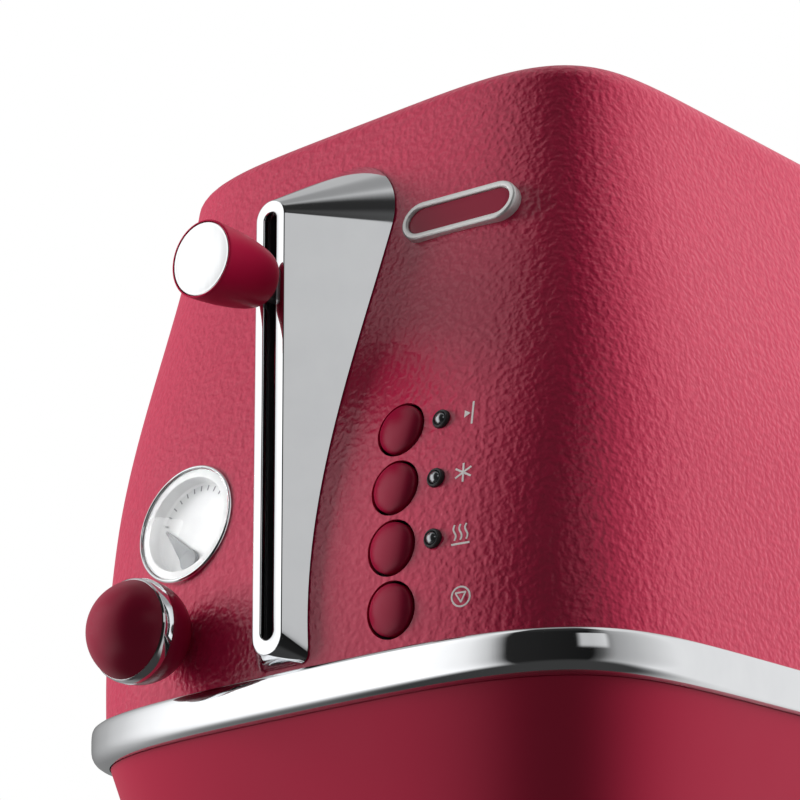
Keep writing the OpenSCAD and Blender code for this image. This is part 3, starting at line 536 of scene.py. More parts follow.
def outline(width, length, bow, z, count=320):
    t = np.linspace(0, 2 * np.pi, 6000, endpoint=False)
    c, s = np.cos(t), np.sin(t)
    x = width * np.sign(c) * np.abs(c) ** (2 / bow)
    y = length * np.sign(s) * np.abs(s) ** (2 / casing["sideBow"])
    x, y = np.append(x, x[0]), np.append(y, y[0])
    run = np.append(0, np.cumsum(np.hypot(np.diff(x), np.diff(y))))
    goal = np.linspace(0, run[-1], count, endpoint=False)
    return [(a, b + casing["middle"], z) for a, b in zip(np.interp(goal, run, x), np.interp(goal, run, y))]


def casingRing(z, inset=0.0):
    return outline(sideAt(z) - inset, endAt(z) - inset, bowAt(z), z)


def casingNormals(piece):
    # the curved walls get their true normals, so the cuts leave no mark in the shading
    mesh = piece.data

    def read(items, key, width, kind):
        values = np.empty(len(items) * width, kind)
        items.foreach_get(key, values)
        return values.reshape(-1, width) if width > 1 else values

    loops = read(mesh.loops, "vertex_index", 1, int)
    points = read(mesh.vertices, "co", 3, float)
    totals = read(mesh.polygons, "loop_total", 1, int)
    flat = np.repeat(read(mesh.polygons, "normal", 3, float), totals, axis=0)
    plain = np.array([tuple(n.vector) for n in mesh.corner_normals])

    def field(p):
        side, end, bow = sideAt(p[:, 2]), endAt(p[:, 2]), bowAt(p[:, 2])
        across, along = np.abs(p[:, 0]) / side, np.abs(p[:, 1] - casing["middle"]) / end
        return across ** bow + along ** casing["sideBow"] - 1

    nudges = 2e-5 * np.eye(3)
    slope = np.stack([field(points + nudge) - field(points - nudge) for nudge in nudges], axis=1)
    true = slope / np.maximum(np.linalg.norm(slope, axis=1, keepdims=True), 1e-12)
    near = (np.abs(field(points)) < 0.004) & (points[:, 2] < casing["top"] - casing["roll"])
    use = near[loops] & (np.sum(true[loops] * flat, axis=1) > 0.97)
    mesh.normals_split_custom_set(np.where(use[:, None], true[loops], plain).tolist())


controls = {
    "buttonX": 35.5 * mm, "buttonLowest": 10.3 * mm, "buttonPitch": 16 * mm, "buttonRadius": 6.7 * mm,
    "lampX": 48.2 * mm, "lampRadius": 2.5 * mm, "markX": 56 * mm,
    "buttonGap": 0.75 * mm, "lampGap": 0.1 * mm, "shaftHole": 3.6 * mm,
    "dialX": -39 * mm, "gaugeZ": 48.3 * mm, "gaugeRadius": 17 * mm, "knobZ": 15.7 * mm,
    "badgeX": 44.4 * mm, "badgeZ": 120 * mm, "badgeLength": 36 * mm, "badgeHeight": 12 * mm, "badgeTurn": 5.2,
}
lever = {
    "slotLow": 7.9 * mm, "slotHigh": 125.4 * mm, "slotWidth": 4.4 * mm,
    "finLow": 4.1 * mm, "finHigh": 128.6 * mm, "finWidth": 10 * mm, "finFlare": 0.64, "finLean": 1.5,
    "finStand": 6.4 * mm, "shadowGap": 0.45 * mm,
    "wayHalf": 4.5 * mm, "wayLow": 6.4 * mm, "wayHigh": 126.9 * mm,
}


gaugeZ = casing["foot"] + controls["gaugeZ"]


def rowZ(k):
    return casing["foot"] + controls["buttonLowest"] + k * controls["buttonPitch"]


def rod(name, place, radius, low, high, steps=64):
    return revolve(name, [(0, low), (radius, low), (radius, high), (0, high)], place, steps)


def stadium(half, low, high, foot, steps=(10, 8, 30, 40)):
    # points from the middle of the bottom, round to the right; foot is the radius of the lower corners
    across, corner, side, arc = steps
    foot = min(foot, half * 0.999)
    bend = [pi / 2 * i / corner for i in range(corner)]
    crown = [pi / 2 * i / arc for i in range(arc)]
    right = [((half - foot) * i / across, low) for i in range(across)]
    right += [(half - foot + foot * sin(a), low + foot - foot * cos(a)) for a in bend]
    right += [(half, low + foot + (high - half - low - foot) * i / side) for i in range(side)]
    right += [(half * cos(a), high - half + half * sin(a)) for a in crown]
    return right + [(0, high)] + [(-x, z) for x, z in right[1:]][::-1]


def makeCasing():
    roll, wall, top = casing["roll"], casing["wall"], casing["top"]
    start = radians(casing["rollFrom"])
    rollZ = top - roll * (1 - sin(start))
    topSide = sideAt(rollZ) - roll * cos(start)
    topEnd = endAt(rollZ) - roll * cos(start)
    deckLow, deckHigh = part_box("top_deck")
    mouthSide, mouthEnd = ((deckHigh[k] - deckLow[k]) / 2 - casing["mouthInset"] for k in (0, 1))
    bow = bowAt(top)

    def rolled(angle, radius):
        out = radius * cos(angle)
        return outline(topSide + out, topEnd + out, bow, top - roll + radius * sin(angle))

    def hole(place, radius, reach, steps):
        return rod("hole", place, radius, -reach * mm, reach * mm, steps)

    rise = np.linspace(shellLow[2], rollZ, 58)
    angles = [start + (pi / 2 - start) * i / 9 for i in range(1, 10)]
    rings = [casingRing(z) for z in rise]
    rings += [rolled(a, roll) for a in angles]
    rings += [outline(topSide + (mouthSide - topSide) * t, topEnd + (mouthEnd - topEnd) * t, bow, top)
              for t in (0.5, 1)]
    rings += [outline(mouthSide, mouthEnd, bow, top - wall)]
    rings += [rolled(a, roll - wall) for a in angles[::-2]]
    rings += [casingRing(z, wall) for z in rise[::-4]]
    piece = loft("casing", rings, closed=True)
    buttonHole = controls["buttonRadius"] + controls["buttonGap"]
    lampHole = controls["lampRadius"] + controls["lampGap"]
    dialX, knobZ = controls["dialX"], casing["foot"] + controls["knobZ"]
    cutters = [hole(onFace(controls["buttonX"], rowZ(k)), buttonHole, 8, 64) for k in range(4)]
    cutters += [hole(onFace(controls["lampX"], rowZ(k)), lampHole, 8, 48) for k in range(1, 4)]
    cutters.append(hole(onFace(dialX, gaugeZ), controls["gaugeRadius"] - 1.6 * mm, 10, 96))
    cutters.append(hole(outwards(dialX, faceY(dialX, knobZ), knobZ), controls["shaftHole"], 10, 48))
    half = lever["wayHalf"]
    way = stadium(half, lever["wayLow"], lever["wayHigh"], half, (2, 6, 10, 10))
    ends = [[(x, casing["middle"] + y, z + casing["foot"]) for x, z in way] for y in (-107 * mm, -160 * mm)]
    cutters.append(loft("leverWay", ends, capped=True))
    cutAway(piece, cutters)
    casingNormals(piece)
    settle(piece, casingPaint, "casing_paint", "body_shell")


def makeBand():
    # how far out of the casing, and how high, round the band's section
    section = sized((0.15, 11), (1.6, 11), (2.3, 10.85), (2.8, 10.4), (3.05, 9.7), (3.16, 8.7), (3.2, 7.4),
                    (3.2, 5.4), (3.15, 4.3), (3.0, 3.3), (2.65, 2.35), (2.1, 1.5), (1.3, 0.8), (0.4, 0.3),
                    (-0.4, 0.05), (-0.8, 0), (-0.8, 0.9), (0.15, 0.9))
    rings = [aroundFoot(-out, bandLow[2] + up, 480) for out, up in section]
    settle(loft("brightBand", rings, closed=True, creaseAngle=40), chrome, "bright_chrome", "chrome_band")


def aroundFoot(inset, z, count=320):
    return outline(casing["halfWidth"] - inset, casing["halfLength"] - inset, casing["endBow"], z, count)


def skirtInset(z):
    return (1 + 9 * (bandLow[2] - z) / (bandLow[2] - skirtLow[2])) * mm


def makeSkirt():
    low, high, top = skirtLow[2], bandLow[2] - 0.15 * mm, skirtHigh[2]
    edge, floorThick = 4 * mm, 2.4 * mm
    foot = skirtInset(low)
    rings = [aroundFoot(skirtInset(z), z) for z in np.linspace(high, low + edge, 14)]
    rings += [aroundFoot(foot + (0.2 + 2.2 * t * t) * mm, low + edge * (1 - sin(pi / 2 * t)))
              for t in (0.25, 0.5, 0.75, 1)]
    rings += [outline(casing["halfWidth"] - 36 * mm, casing["halfLength"] - 31 * mm, casing["endBow"], z)
              for z in (low, low + floorThick)]
    rings.append(aroundFoot(foot + 4.2 * mm, low + floorThick))
    rings.append(aroundFoot(skirtInset(low + edge) + 2.2 * mm, low + edge + mm))
    rings += [aroundFoot(inset * mm, z) for inset, z in
              ((3.35, bandLow[2] - 2 * mm), (3.35, top), (1.15, top), (1.15, high))]
    piece = loft("lowerSkirt", rings, closed=True)
    trayLow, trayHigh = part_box("tray_handle")
    glandLow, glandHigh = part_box("cord_gland")
    half, sill, head = 51 * mm, trayLow[2] - 0.5 * mm, trayHigh[2] + 0.6 * mm
    corners = [(-half, sill), (half, sill), (half, head), (-half, head)]
    ends = [[(x, casing["middle"] + y, z) for x, z in corners] for y in (100 * mm, 160 * mm)]
    gland = outwards(0, casing["middle"] + 140 * mm, (glandLow[2] + glandHigh[2]) / 2)
    hole = rod("glandHole", gland, 4.6 * mm, -20 * mm, 20 * mm)
    cutAway(piece, [loft("trayWindow", ends, capped=True), hole])
    settle(piece, skirtPaint, "skirt_plastic", "base_skirt")


def flatShape(name, loops, low, high, soft):
    # a plate with holes, whose edges are rounded
    shape = bpy.data.curves.new(name, "CURVE")
    shape.dimensions = "2D"
    shape.fill_mode = "BOTH"
    shape.extrude = (high - low) / 2 - soft
    shape.bevel_depth = soft
    shape.offset = -soft
    shape.bevel_resolution = 3
    for loop in loops:
        line = shape.splines.new("POLY")
        line.points.add(len(loop) - 1)
        for point, place in zip(line.points, loop):
            point.co = (place[0], place[1], 0, 1)
        line.use_cyclic_u = True
    holder = bpy.data.objects.new(name, shape)
    bpy.context.scene.collection.objects.link(holder)
    mesh = bpy.data.meshes.new_from_object(holder.evaluated_get(bpy.context.evaluated_depsgraph_get()))
    bpy.data.objects.remove(holder)
    mesh.transform(Matrix.Translation((0, 0, (low + high) / 2)))
    return fromMesh(name, mesh, 40)


def roundedSlot(middleX, halfX, halfY, radius, steps=14):
    points = []
    for cornerX, cornerY, start in ((1, 1, 0), (-1, 1, 90), (-1, -1, 180), (1, -1, 270)):
        for i in range(steps + 1):
            a = radians(start + 90 * i / steps)
            points.append((middleX + cornerX * (halfX - radius) + radius * cos(a),
                           casing["middle"] + cornerY * (halfY - radius) + radius * sin(a)))
    return points


deck = {
    "slotHalfX": 17 * mm, "slotHalfY": 75 * mm, "slotPitch": 52 * mm,
    "sheet": 1.2 * mm, "corner": 8 * mm, "collar": 6 * mm,
}


def makeDeck():
    low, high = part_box("top_deck")
    halfX, halfY = (high[0] - low[0]) / 2, (high[1] - low[1]) / 2
    bow, sheet, base, top = bowAt(casing["top"]), deck["sheet"], casing["top"], high[2]

    def rim(inset):
        return outline(halfX - inset, halfY - inset, bow, 0, 260)

    def slots(grow):
        return [roundedSlot(s * deck["slotPitch"] / 2, deck["slotHalfX"] + grow, deck["slotHalfY"] + grow,
                            deck["corner"] + grow) for s in (-1, 1)]

    # a black ring under the deck's edge, a dark sheet standing in for the shadow in the gap there
    gapShade = flatShape("deckGapShade", [rim(0.02 * mm), rim(sheet)], base, top - 0.7 * mm, 0.1 * mm)
    settle(gapShade, blackPlastic, "black_plastic")
    parts = [flatShape("sheet", [rim(0)] + slots(0), top - 0.9 * mm, top, 0.4 * mm),
             flatShape("lip", [rim(2.3 * mm), rim(3.5 * mm)], base - 3 * mm, top - 0.5 * mm, 0.1 * mm)]
    parts += [flatShape("collar", loops, base - deck["collar"], top - 0.5 * mm, 0.2 * mm)
              for loops in zip(slots(sheet), slots(0.02 * mm))]
    settle(merge("topDeck", parts, 40), deckSteel, "deck_steel", "top_deck")


def onFin(across, up, out):
    # across the fin, up its front edge from the band, and out of its front
    lean = radians(lever["finLean"])
    rise = up - lever["finLow"]
    front = casing["middle"] - casing["halfLength"] - lever["finStand"]
    return (across, front + rise * sin(lean) - out * cos(lean),
            casing["foot"] + lever["finLow"] + rise * cos(lean) + out * sin(lean))


def makeFin():
    half, flare, low, high = lever["finWidth"] / 2, lever["finFlare"], lever["finLow"], lever["finHigh"]
    deepest, wall, start, gap = 34 * mm, 1.6 * mm, 0.5 * mm, lever["shadowGap"]

    def form(depth, inset=0.0):
        wide, foot = half + flare * depth - inset, max(half - 0.42 * depth, 1.6 * mm)
        return stadium(wide, low - 0.38 * depth + inset, high - half + wide, foot)

    def flat(points, depth):
        return [onFin(x, z, -depth) for x, z in points]

    # how deep each line of the fin runs before it meets the casing
    steps = [deepest * i / 60 for i in range(61)]
    grid = [flat(form(d), d) for d in steps]
    reach = []
    for j in range(len(grid[0])):
        meet = deepest
        for i in range(1, 61):
            x, y, z = grid[i][j]
            if y > faceY(x, z) - gap:
                lastX, lastY, lastZ = grid[i - 1][j]
                before, after = faceY(lastX, lastZ) - gap - lastY, y - faceY(x, z) + gap
                meet = steps[i - 1] + (steps[i] - steps[i - 1]) * max(before, 0) / max(before + after, 1e-9)
                break
        reach.append(meet)

    def along(share, inset=0.0):
        depths = [start + (r - start) * share for r in reach]
        return [onFin(*form(d, inset)[j], -d) for j, d in enumerate(depths)]

    def slotRing(grow, depth):
        wide = lever["slotWidth"] / 2 + grow
        return flat(stadium(wide, lever["slotLow"] - grow, lever["slotHigh"] + grow, wide), depth)

    rings = [slotRing(*pair) for pair in sized((0, 1.9), (0, 1.0), (0, 0.35), (0.1, 0.1), (0.35, 0))]
    rings += [flat(form(d, inset), d) for d, inset in sized((0, 0.22), (0.03, 0.1), (0.1, 0.02), (0.25, 0))]
    rings += [along(i / 22) for i in range(23)]
    rings += [along(1, wall), along(0.5, wall), flat(form(1.9 * mm, wall), 1.9 * mm)]
    settle(loft("leverFin", rings, closed=True, creaseAngle=50), chrome, "bright_chrome", "lever_fin")


def makeLeverKnob():
    low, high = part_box("lever_knob")
    length, radius = high[1] - low[1], (high[0] - low[0]) / 2
    place = outwards(0, high[1], (low[2] + high[2]) / 2)
    profile = [(0, 0), (radius * 0.46, 0.0)]
    for t in ((i / 40) ** 1.5 for i in range(41)):
        swell = 0.6 + 0.4 * sqrt(sin(pi / 2 * t))
        profile.append((radius * swell * (1 - 0.12 * (1 - t) ** 30), length * (0.008 + 0.982 * t)))
    profile += [(radius - inward, length - down)
                for inward, down in sized((0.12, 0.04), (0.3, 0), (0.45, 0), (0.45, 1.6))]
    profile.append((0, length - 1.6 * mm))
    knob = revolve("leverKnob", profile, place, 128, creaseAngle=50)
    # the knob wears the control red painted lighter, painted light on its cone
    settle(knob, leverLitPaint, "control_plastic", "lever_knob")
    low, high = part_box("lever_cap")
    radius, thick = (high[0] - low[0]) / 2, high[1] - low[1]
    face = [(0, 0), (radius, 0)]
    face += [(radius - inward, thick - down)
             for inward, down in sized((0, 0.25), (0.25, 0.05), (0.7, 0.02), (0.9, 0.1))]
    face += [(radius * 0.5, thick - 0.07 * mm), (0, thick - 0.05 * mm)]
    place = outwards(0, high[1], (low[2] + high[2]) / 2)
    settle(revolve("leverCap", face, place, 128), capSteel, "deck_steel", "lever_cap")


gauge = {
    "cup": 15.2 * mm, "glass": 16 * mm, "dialDepth": 3.6 * mm, "lensRise": 2.6 * mm,
    "pivot": 9.5 * mm, "needle": 15 * mm, "needleWide": 2.6 * mm, "needleAngle": 45,
    "tickRadius": 12 * mm, "tickSweep": 150, "ticks": 13,
}


def makeGauge():
    place = onFace(controls["dialX"], gaugeZ)
    ring, glass, front = controls["gaugeRadius"], gauge["glass"], -gauge["dialDepth"]
    bezel = [(ring - inward, up) for inward, up in sized((0.05, -1), (0.02, 0.7), (0.4, 1.25))]
    bezel = [(glass, -1 * mm)] + bezel + [(glass + 0.25 * mm, 1.3 * mm), (glass, 0.9 * mm)]
    piece = revolve("gaugeBezel", softened(bezel, 0.3 * mm, 4, True), place, 128, closed=True, creaseAngle=50)
    settle(piece, satinChrome, "bright_chrome", "gauge_bezel")
    outer = [(r, z + 0.9 * mm) for r, z in dome(glass - 0.05 * mm, gauge["lensRise"] - 0.4 * mm, 14)]
    inner = [(r, z + 0.5 * mm) for r, z in dome(glass - 0.6 * mm, gauge["lensRise"] - 0.5 * mm, 14)]
    profile = [(glass - 0.05 * mm, 0.5 * mm)] + outer + inner[::-1]
    settle(revolve("gaugeLens", profile, place, closed=True), lens, "lens_glass", "gauge_lens")
    edge, rim = gauge["cup"] - 1.35 * mm, glass - 0.15 * mm
    disc = [(0, front - 0.8 * mm), (edge, front - 0.8 * mm), (edge, 0.25 * mm), (rim, 0.25 * mm),
            (rim, 0.42 * mm), (edge - 0.25 * mm, 0.42 * mm), (edge - 0.45 * mm, front + 0.5 * mm),
            (edge - 1.0 * mm, front), (0, front)]
    settle(revolve("gaugeDial", softened(disc, 0.2 * mm, 3), place), card, "dial_face", "gauge_dial")
    pivot = place @ Matrix.Translation((0, -gauge["pivot"], 0))
    turned = pivot @ Matrix.Rotation(radians(gauge["needleAngle"]), 4, "Z")
    turned = turned @ Matrix.Translation((0, 0, front + 0.4 * mm))
    tip, wide, blunt = gauge["needle"], gauge["needleWide"], 0.25 * mm
    blade = [(-wide, 0), (-blunt, tip), (blunt, tip), (wide, 0)]
    blade = [[turned @ Vector((x, y, z)) for x, y in blade] for z in (0, 0.6 * mm)]
    hub = softened(sized((0, 0), (3, 0), (3, 1.2), (0, 1.2)), 0.4 * mm)
    parts = [loft("blade", blade, capped=True),
             revolve("hub", hub, turned, 64),
             rod("spindle", pivot, 1 * mm, front - 3.5 * mm, front + 0.5 * mm, 32)]
    settle(merge("gaugeNeedle", parts), needleGrey, "needle_grey", "gauge_needle")


def makeDialKnob():
    low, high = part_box("knob_ring")
    radius = (high[0] - low[0]) / 2 - 0.3 * mm
    centre = outwards((low[0] + high[0]) / 2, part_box("knob_front")[0][1] + radius, (low[2] + high[2]) / 2)
    ringBack, ringFront, ballBack, bore, gap = 0.8 * mm, 4.3 * mm, -12.2 * mm, 3.05 * mm, 0.05 * mm

    def ball(low, high, r, steps=28):
        a, b = asin(low / r), asin(min(high / r, 1))
        turns = [a + (b - a) * i / steps for i in range(steps + 1)]
        return [(r * cos(t), r * sin(t)) for t in turns]

    front = [(0, ringFront + gap)] + ball(ringFront + gap, radius, radius)
    front[-1] = (0, radius)
    settle(revolve("knobFront", front, centre, 128), controlPaint, "control_plastic", "knob_front")
    bead = ball(ringBack, ringFront, radius + 0.28 * mm, 10)
    bead[0], bead[-1] = (bead[0][0] - 0.25 * mm, ringBack), (bead[-1][0] - 0.25 * mm, ringFront)
    bead = [(8 * mm, ringBack)] + bead + [(8 * mm, ringFront)]
    settle(revolve("knobRing", bead, centre, 128, closed=True), chrome, "bright_chrome", "knob_ring")
    back = [(bore, 4.1 * mm), (bore, ballBack)] + ball(ballBack, ringBack - gap, radius)
    back += [(7.9 * mm, ringBack - gap), (7.9 * mm, ringFront), (bore, ringFront)]
    settle(revolve("knobBack", back, centre, 128, closed=True), controlPaint, "control_plastic", "knob_back")


def behind(x, k, node, stem):
    # how far back from the face a stem of that radius stays inside the node's box
    tilt = faceTilt(x, rowZ(k))
    return (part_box(node)[1][1] - faceY(x, rowZ(k))) / cos(tilt) - stem * tan(abs(tilt))


def makeButtons():
    radius, x = controls["buttonRadius"], controls["buttonX"]
    for k, name in enumerate(("cancel", "reheat", "defrost", "bagel")):
        tail = behind(x, k, "button_" + name, 3 * mm)
        arc = [pi / 2 * (1 - i / 24) for i in range(25)]
        crown = [(radius * sin(a), (-0.2 + 2.6 * cos(a)) * mm) for a in arc]
        crown[-1] = (0, 2.4 * mm)
        stem = [(0, -tail), (3 * mm, -tail), (3 * mm, -4 * mm)]
        stem += [(radius - 0.2 * mm, -4 * mm), (radius, -3.8 * mm)]
        piece = revolve(name + "Button", stem + crown, onFace(x, rowZ(k)))
        settle(piece, controlPaint, "control_plastic", "button_" + name)


def makeLamps():
    domes, collars = [], []
    for k in range(1, 4):
        place = onFace(controls["lampX"], rowZ(k))
        tail = behind(controls["lampX"], k, "indicator_lamps", 1.4 * mm) - 0.1 * mm
        bulb = [(0, -tail), (1.4 * mm, -tail)] + sized((1.4, -2.8), (1.75, -2.6), (1.75, 0.2))
        bulb += [(r, z + 0.2 * mm) for r, z in dome(1.75 * mm, 1.5 * mm, 10)]
        domes.append(revolve("dome", bulb, place, 48))
        collar = sized((1.8, -2.6), (2.5, -2.6), (2.5, 0.6), (2.1, 0.95), (1.8, 0.7))
        collars.append(revolve("collar", softened(collar, 0.15 * mm, 3, True), place, 48, closed=True))
    settle(merge("lampDomes", domes), domeGlass, "lamp_plastic", "indicator_lamps")
    settle(merge("lampCollars", collars), blackPlastic, "black_plastic")


def stroke(points, width):
    # a flat line of even width, as loops of corners
    quads = []
    for a, b in zip(points, points[1:]):
        a, b = Vector(a), Vector(b)
        run = (b - a).normalized()
        side = Vector((-run.y, run.x)) * width / 2
        reach = run * width * 0.12
        quads.append([a - side - reach, b - side + reach, b + side + reach, a + side - reach])
    return quads


marks = {"line": 0.62, "reach": 2.9, "scale": 0.84 * mm, "sunk": -0.3 * mm, "proud": 0.05 * mm}


def onCircle(radius, degrees):
    return (radius * cos(radians(degrees)), radius * sin(radians(degrees)))


def makeMarks():
    # one mark beside each button: one side, frost, reheat and stop
    w, reach = marks["line"], marks["reach"]
    waves = [[(x + 0.42 * sin(t * 2 * pi), -1.9 + 4.7 * t) for t in (i / 14 for i in range(15))]
             for x in (-1.9, 0, 1.9)]
    triangle = [(x, y + 0.25) for x, y in (onCircle(1.9, a) for a in (150, 270, 30, 150))]
    arrow = [Vector(p) for p in ((-1.2, 1.2), (-1.2, -1.2), (0.8, 0))]
    drawn = {
        3: [arrow] + stroke([(1.5, -3.6), (1.5, 3.6)], w),
        2: [q for a in (90, 150, 210) for q in stroke([onCircle(reach, a), onCircle(-reach, a)], w)],
        1: stroke([(-reach, -3.1), (reach, -3.1)], w) + [q for wave in waves for q in stroke(wave, w * 0.9)],
        0: stroke([onCircle(reach, 10 * i) for i in range(37)], w * 0.85) + stroke(triangle, w * 0.8),
    }
    points, faces = [], []
    for k, shapes in drawn.items():
        for shape in shapes:
            base, n = len(points), len(shape)
            for lift in (marks["sunk"], marks["proud"]):
                for corner in shape:
                    x, z = controls["markX"] + corner.x * marks["scale"], rowZ(k) + corner.y * marks["scale"]
                    points.append((x, faceY(x, z) - lift, z))
            faces += [tuple(range(base, base + n))[::-1], tuple(range(base + n, base + 2 * n))]
            faces += [(base + i, base + (i + 1) % n, base + n + (i + 1) % n, base + n + i) for i in range(n)]
    settle(makePiece("buttonMarks", points, faces), markWhite, "dial_face")


def pill(half, radius, steps=24):
    points = []
    for side, start in ((1, -90), (-1, 90)):
        for i in range(steps + 1):
            a = radians(start + 180 * i / steps)
            points.append((side * half + radius * cos(a), radius * sin(a)))
    return points


def makeBadge():
    x, z = controls["badgeX"], casing["foot"] + controls["badgeZ"]
    place = onFace(x, z) @ Matrix.Rotation(radians(controls["badgeTurn"]), 4, "Y")
    half, radius = (controls["badgeLength"] - controls["badgeHeight"]) / 2, controls["badgeHeight"] / 2
    section = softened([(0, -1.9), (0, 1.1), (0.4, 1.6), (1.5, 1.6), (1.9, 1.2), (1.9, -1.9)], 0.3, 4)
    rings = [[place @ Vector((a, b, up * mm)) for a, b in pill(half, radius - inward * mm)]
             for inward, up in section]
    border = loft("badgeFrame", rings, closed=True, creaseAngle=50)
    settle(border, badgeSilver, "bright_chrome", "badge_frame")
    rings = [[place @ Vector((a * s, b * s, up * mm)) for a, b in pill(half, radius - 2 * mm)]
             for s, up in ((1, -1.2), (1, 0.75), (0.98, 0.86), (0.9, 0.92), (0.6, 0.98), (0.2, 1.0))]
    settle(loft("badgePlate", rings, capped=True), controlPaint, "control_plastic", "badge_plate")


def makeTrayHandle():
    low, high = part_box("tray_handle")
    count, half, proud, drop = 60, 50.4 * mm, 1.6 * mm, 4.6 * mm
    top, bottom, soft = high[2] - 0.05 * mm, low[2], 0.6 * mm
    inset = skirtInset((top + bottom) / 2)
    rear = [p for p in aroundFoot(inset - proud, 0, 1200) if abs(p[0]) < half and p[1] > casing["middle"]]
    rear = sorted(rear, key=lambda p: p[0])
    rear = [rear[round(i * (len(rear) - 1) / count)] for i in range(count + 1)]
    section = [(soft, bottom), (0, bottom + soft), (0, top - soft), (soft, top), (drop, top), (drop, bottom)]
    rows = [[(p[0], min(p[1], high[1]) - back, up) for p in rear]
            for back, up in softened(section, 0.5 * mm, 4)]
    faces = []
    wide, tall = count + 1, len(rows)
    for i in range(tall):
        n = (i + 1) % tall
        faces += [(i * wide + j, i * wide + j + 1, n * wide + j + 1, n * wide + j) for j in range(count)]
    faces.append(tuple(i * wide for i in range(tall)))
    faces.append(tuple(i * wide + count for i in range(tall))[::-1])
    slab = makePiece("trayFront", [p for row in rows for p in row], faces)
    side, under, over = 20 * mm, bottom + 1.2 * mm, bottom + 3 * mm
    tongue = [(-side, under), (side, under), (side, over), (-side, over)]
    bar = loft("tongue", [[(x, y, z) for x, z in tongue] for y in (low[1], high[1] - 3 * mm)], capped=True)
    settle(merge("trayHandle", [slab, bar]), skirtPaint, "skirt_plastic", "tray_handle")


def makeGland():
    low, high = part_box("cord_gland")
    radius, bore, neck = (high[0] - low[0]) / 2, 3.2 * mm, 4.55 * mm
    place = outwards(0, high[1], (low[2] + high[2]) / 2)
    profile = [(bore, 0), (radius - 0.5 * mm, 0), (radius, 2.4 * mm)]
    profile += [(neck, 2.5 * mm), (neck, 13 * mm), (bore, 13 * mm)]
    collar = revolve("collar", softened(profile, 0.4 * mm, 4, True), place, closed=True)
    plug = rod("plug", place, bore + 0.05 * mm, 8 * mm, 12.8 * mm)
    settle(merge("cordGland", [collar, plug]), blackPlastic, "black_plastic", "cord_gland")


def makeFeet():
    low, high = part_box("feet")
    radius = 7.5 * mm
    profile = sized((0, 0.35), (4.9, 0.35), (5.2, 0), (6.8, 0), (7.5, 0.9), (7.2, 3.95), (2.5, 3.95))
    profile = softened(profile + [(2.5 * mm, high[2]), (0, high[2])], 0.3 * mm)
    feet = [revolve("foot", profile, Matrix.Translation((x, y, 0)), 64)
            for x in (low[0] + radius, high[0] - radius) for y in (low[1] + radius, high[1] - radius)]
    settle(merge("feet", feet), rubber, "foot_rubber", "feet")


# ---- pieces that repeat ----

def startTree(name, inputs):
    tree = bpy.data.node_groups.new(name, "GeometryNodeTree")
    tree.interface.new_socket("Geometry", in_out="OUTPUT", socket_type="NodeSocketGeometry")
    sockets = {key: tree.interface.new_socket(key, in_out="INPUT", socket_type="NodeSocket" + kind)
               for key, kind in inputs.items()}
    graph = Graph(tree)
    entry = tree.nodes.new("NodeGroupInput")
    wires = {key: Wire(graph, entry.outputs[key]) for key in inputs}
    return graph, wires, {key: socket.identifier for key, socket in sockets.items()}


def endTree(graph, shape, finish):
    solid = graph.node("GeometryNodeRealizeInstances", values={0: shape})
    painted = graph.node("GeometryNodeSetMaterial", values={"Geometry": solid, "Material": finish})
    leave = graph.tree.nodes.new("NodeGroupOutput")
    graph.tree.links.new(painted.socket, leave.inputs[0])


def grow(name, tree, identifiers, values, creaseAngle=40):
    mesh = bpy.data.meshes.new(name)
    holder = bpy.data.objects.new(name, mesh)
    bpy.context.scene.collection.objects.link(holder)
    change = holder.modifiers.new("grow", "NODES")
    change.node_group = tree
    for key, value in values.items():
        change[identifiers[key]] = value
    bake(holder)
    smoothen(holder, creaseAngle)
    return holder


guideSizes = {"Wires": 9, "Thin": 0.9 * mm, "Thick": 1.5 * mm, "End": 2 * mm}


def guideTree():
    # a wire frame that stands beside the bread
    graph, given, names = startTree("bread guide", {
        "Foot": "Vector", "Half Length": "Float", "Span": "Float", "Height": "Float", "Wires": "Int",
        "Thin": "Float", "Thick": "Float"})

    def along(base, half):
        by = graph.node("ShaderNodeCombineXYZ", values={"Y": half})
        return shifted(base, by)

    def shifted(base, by):
        return graph.node("ShaderNodeVectorMath", {"operation": "ADD"}, {0: base, 1: by})

    def wire(start, end, radius, sides):
        path = graph.node("GeometryNodeCurvePrimitiveLine", values={"Start": start, "End": end})
        edge = graph.node("GeometryNodeCurvePrimitiveCircle", values={"Resolution": sides, "Radius": radius})
        values = {"Curve": path, "Profile Curve": edge, "Fill Caps": True}
        return graph.node("GeometryNodeCurveToMesh", values=values)

    foot, half, span, thin = given["Foot"], given["Half Length"], given["Span"], given["Thin"]
    up = graph.node("ShaderNodeCombineXYZ", values={"Z": given["Height"]})
    top = shifted(foot, up)
    hinge = wire(along(foot, -half), along(foot, half), given["Thick"], 24)
    bar = wire(along(top, -span), along(top, span), thin * 1.3, 20)
    inner = span - guideSizes["End"]
    step = graph.node("ShaderNodeCombineXYZ", values={"Y": inner * 2 / (given["Wires"] - 1)})
    row = graph.node("GeometryNodeMeshLine", {"mode": "OFFSET"}, {
        "Count": given["Wires"], "Start Location": along(foot, -inner), "Offset": step})
    upright = wire((0, 0, 0), up, thin, 16)
    fence = graph.node("GeometryNodeInstanceOnPoints", values={"Points": row, "Instance": upright})
    endTree(graph, graph.node("GeometryNodeJoinGeometry", values={0: [hinge, bar, fence]}), satinChrome)
    return graph.tree, names


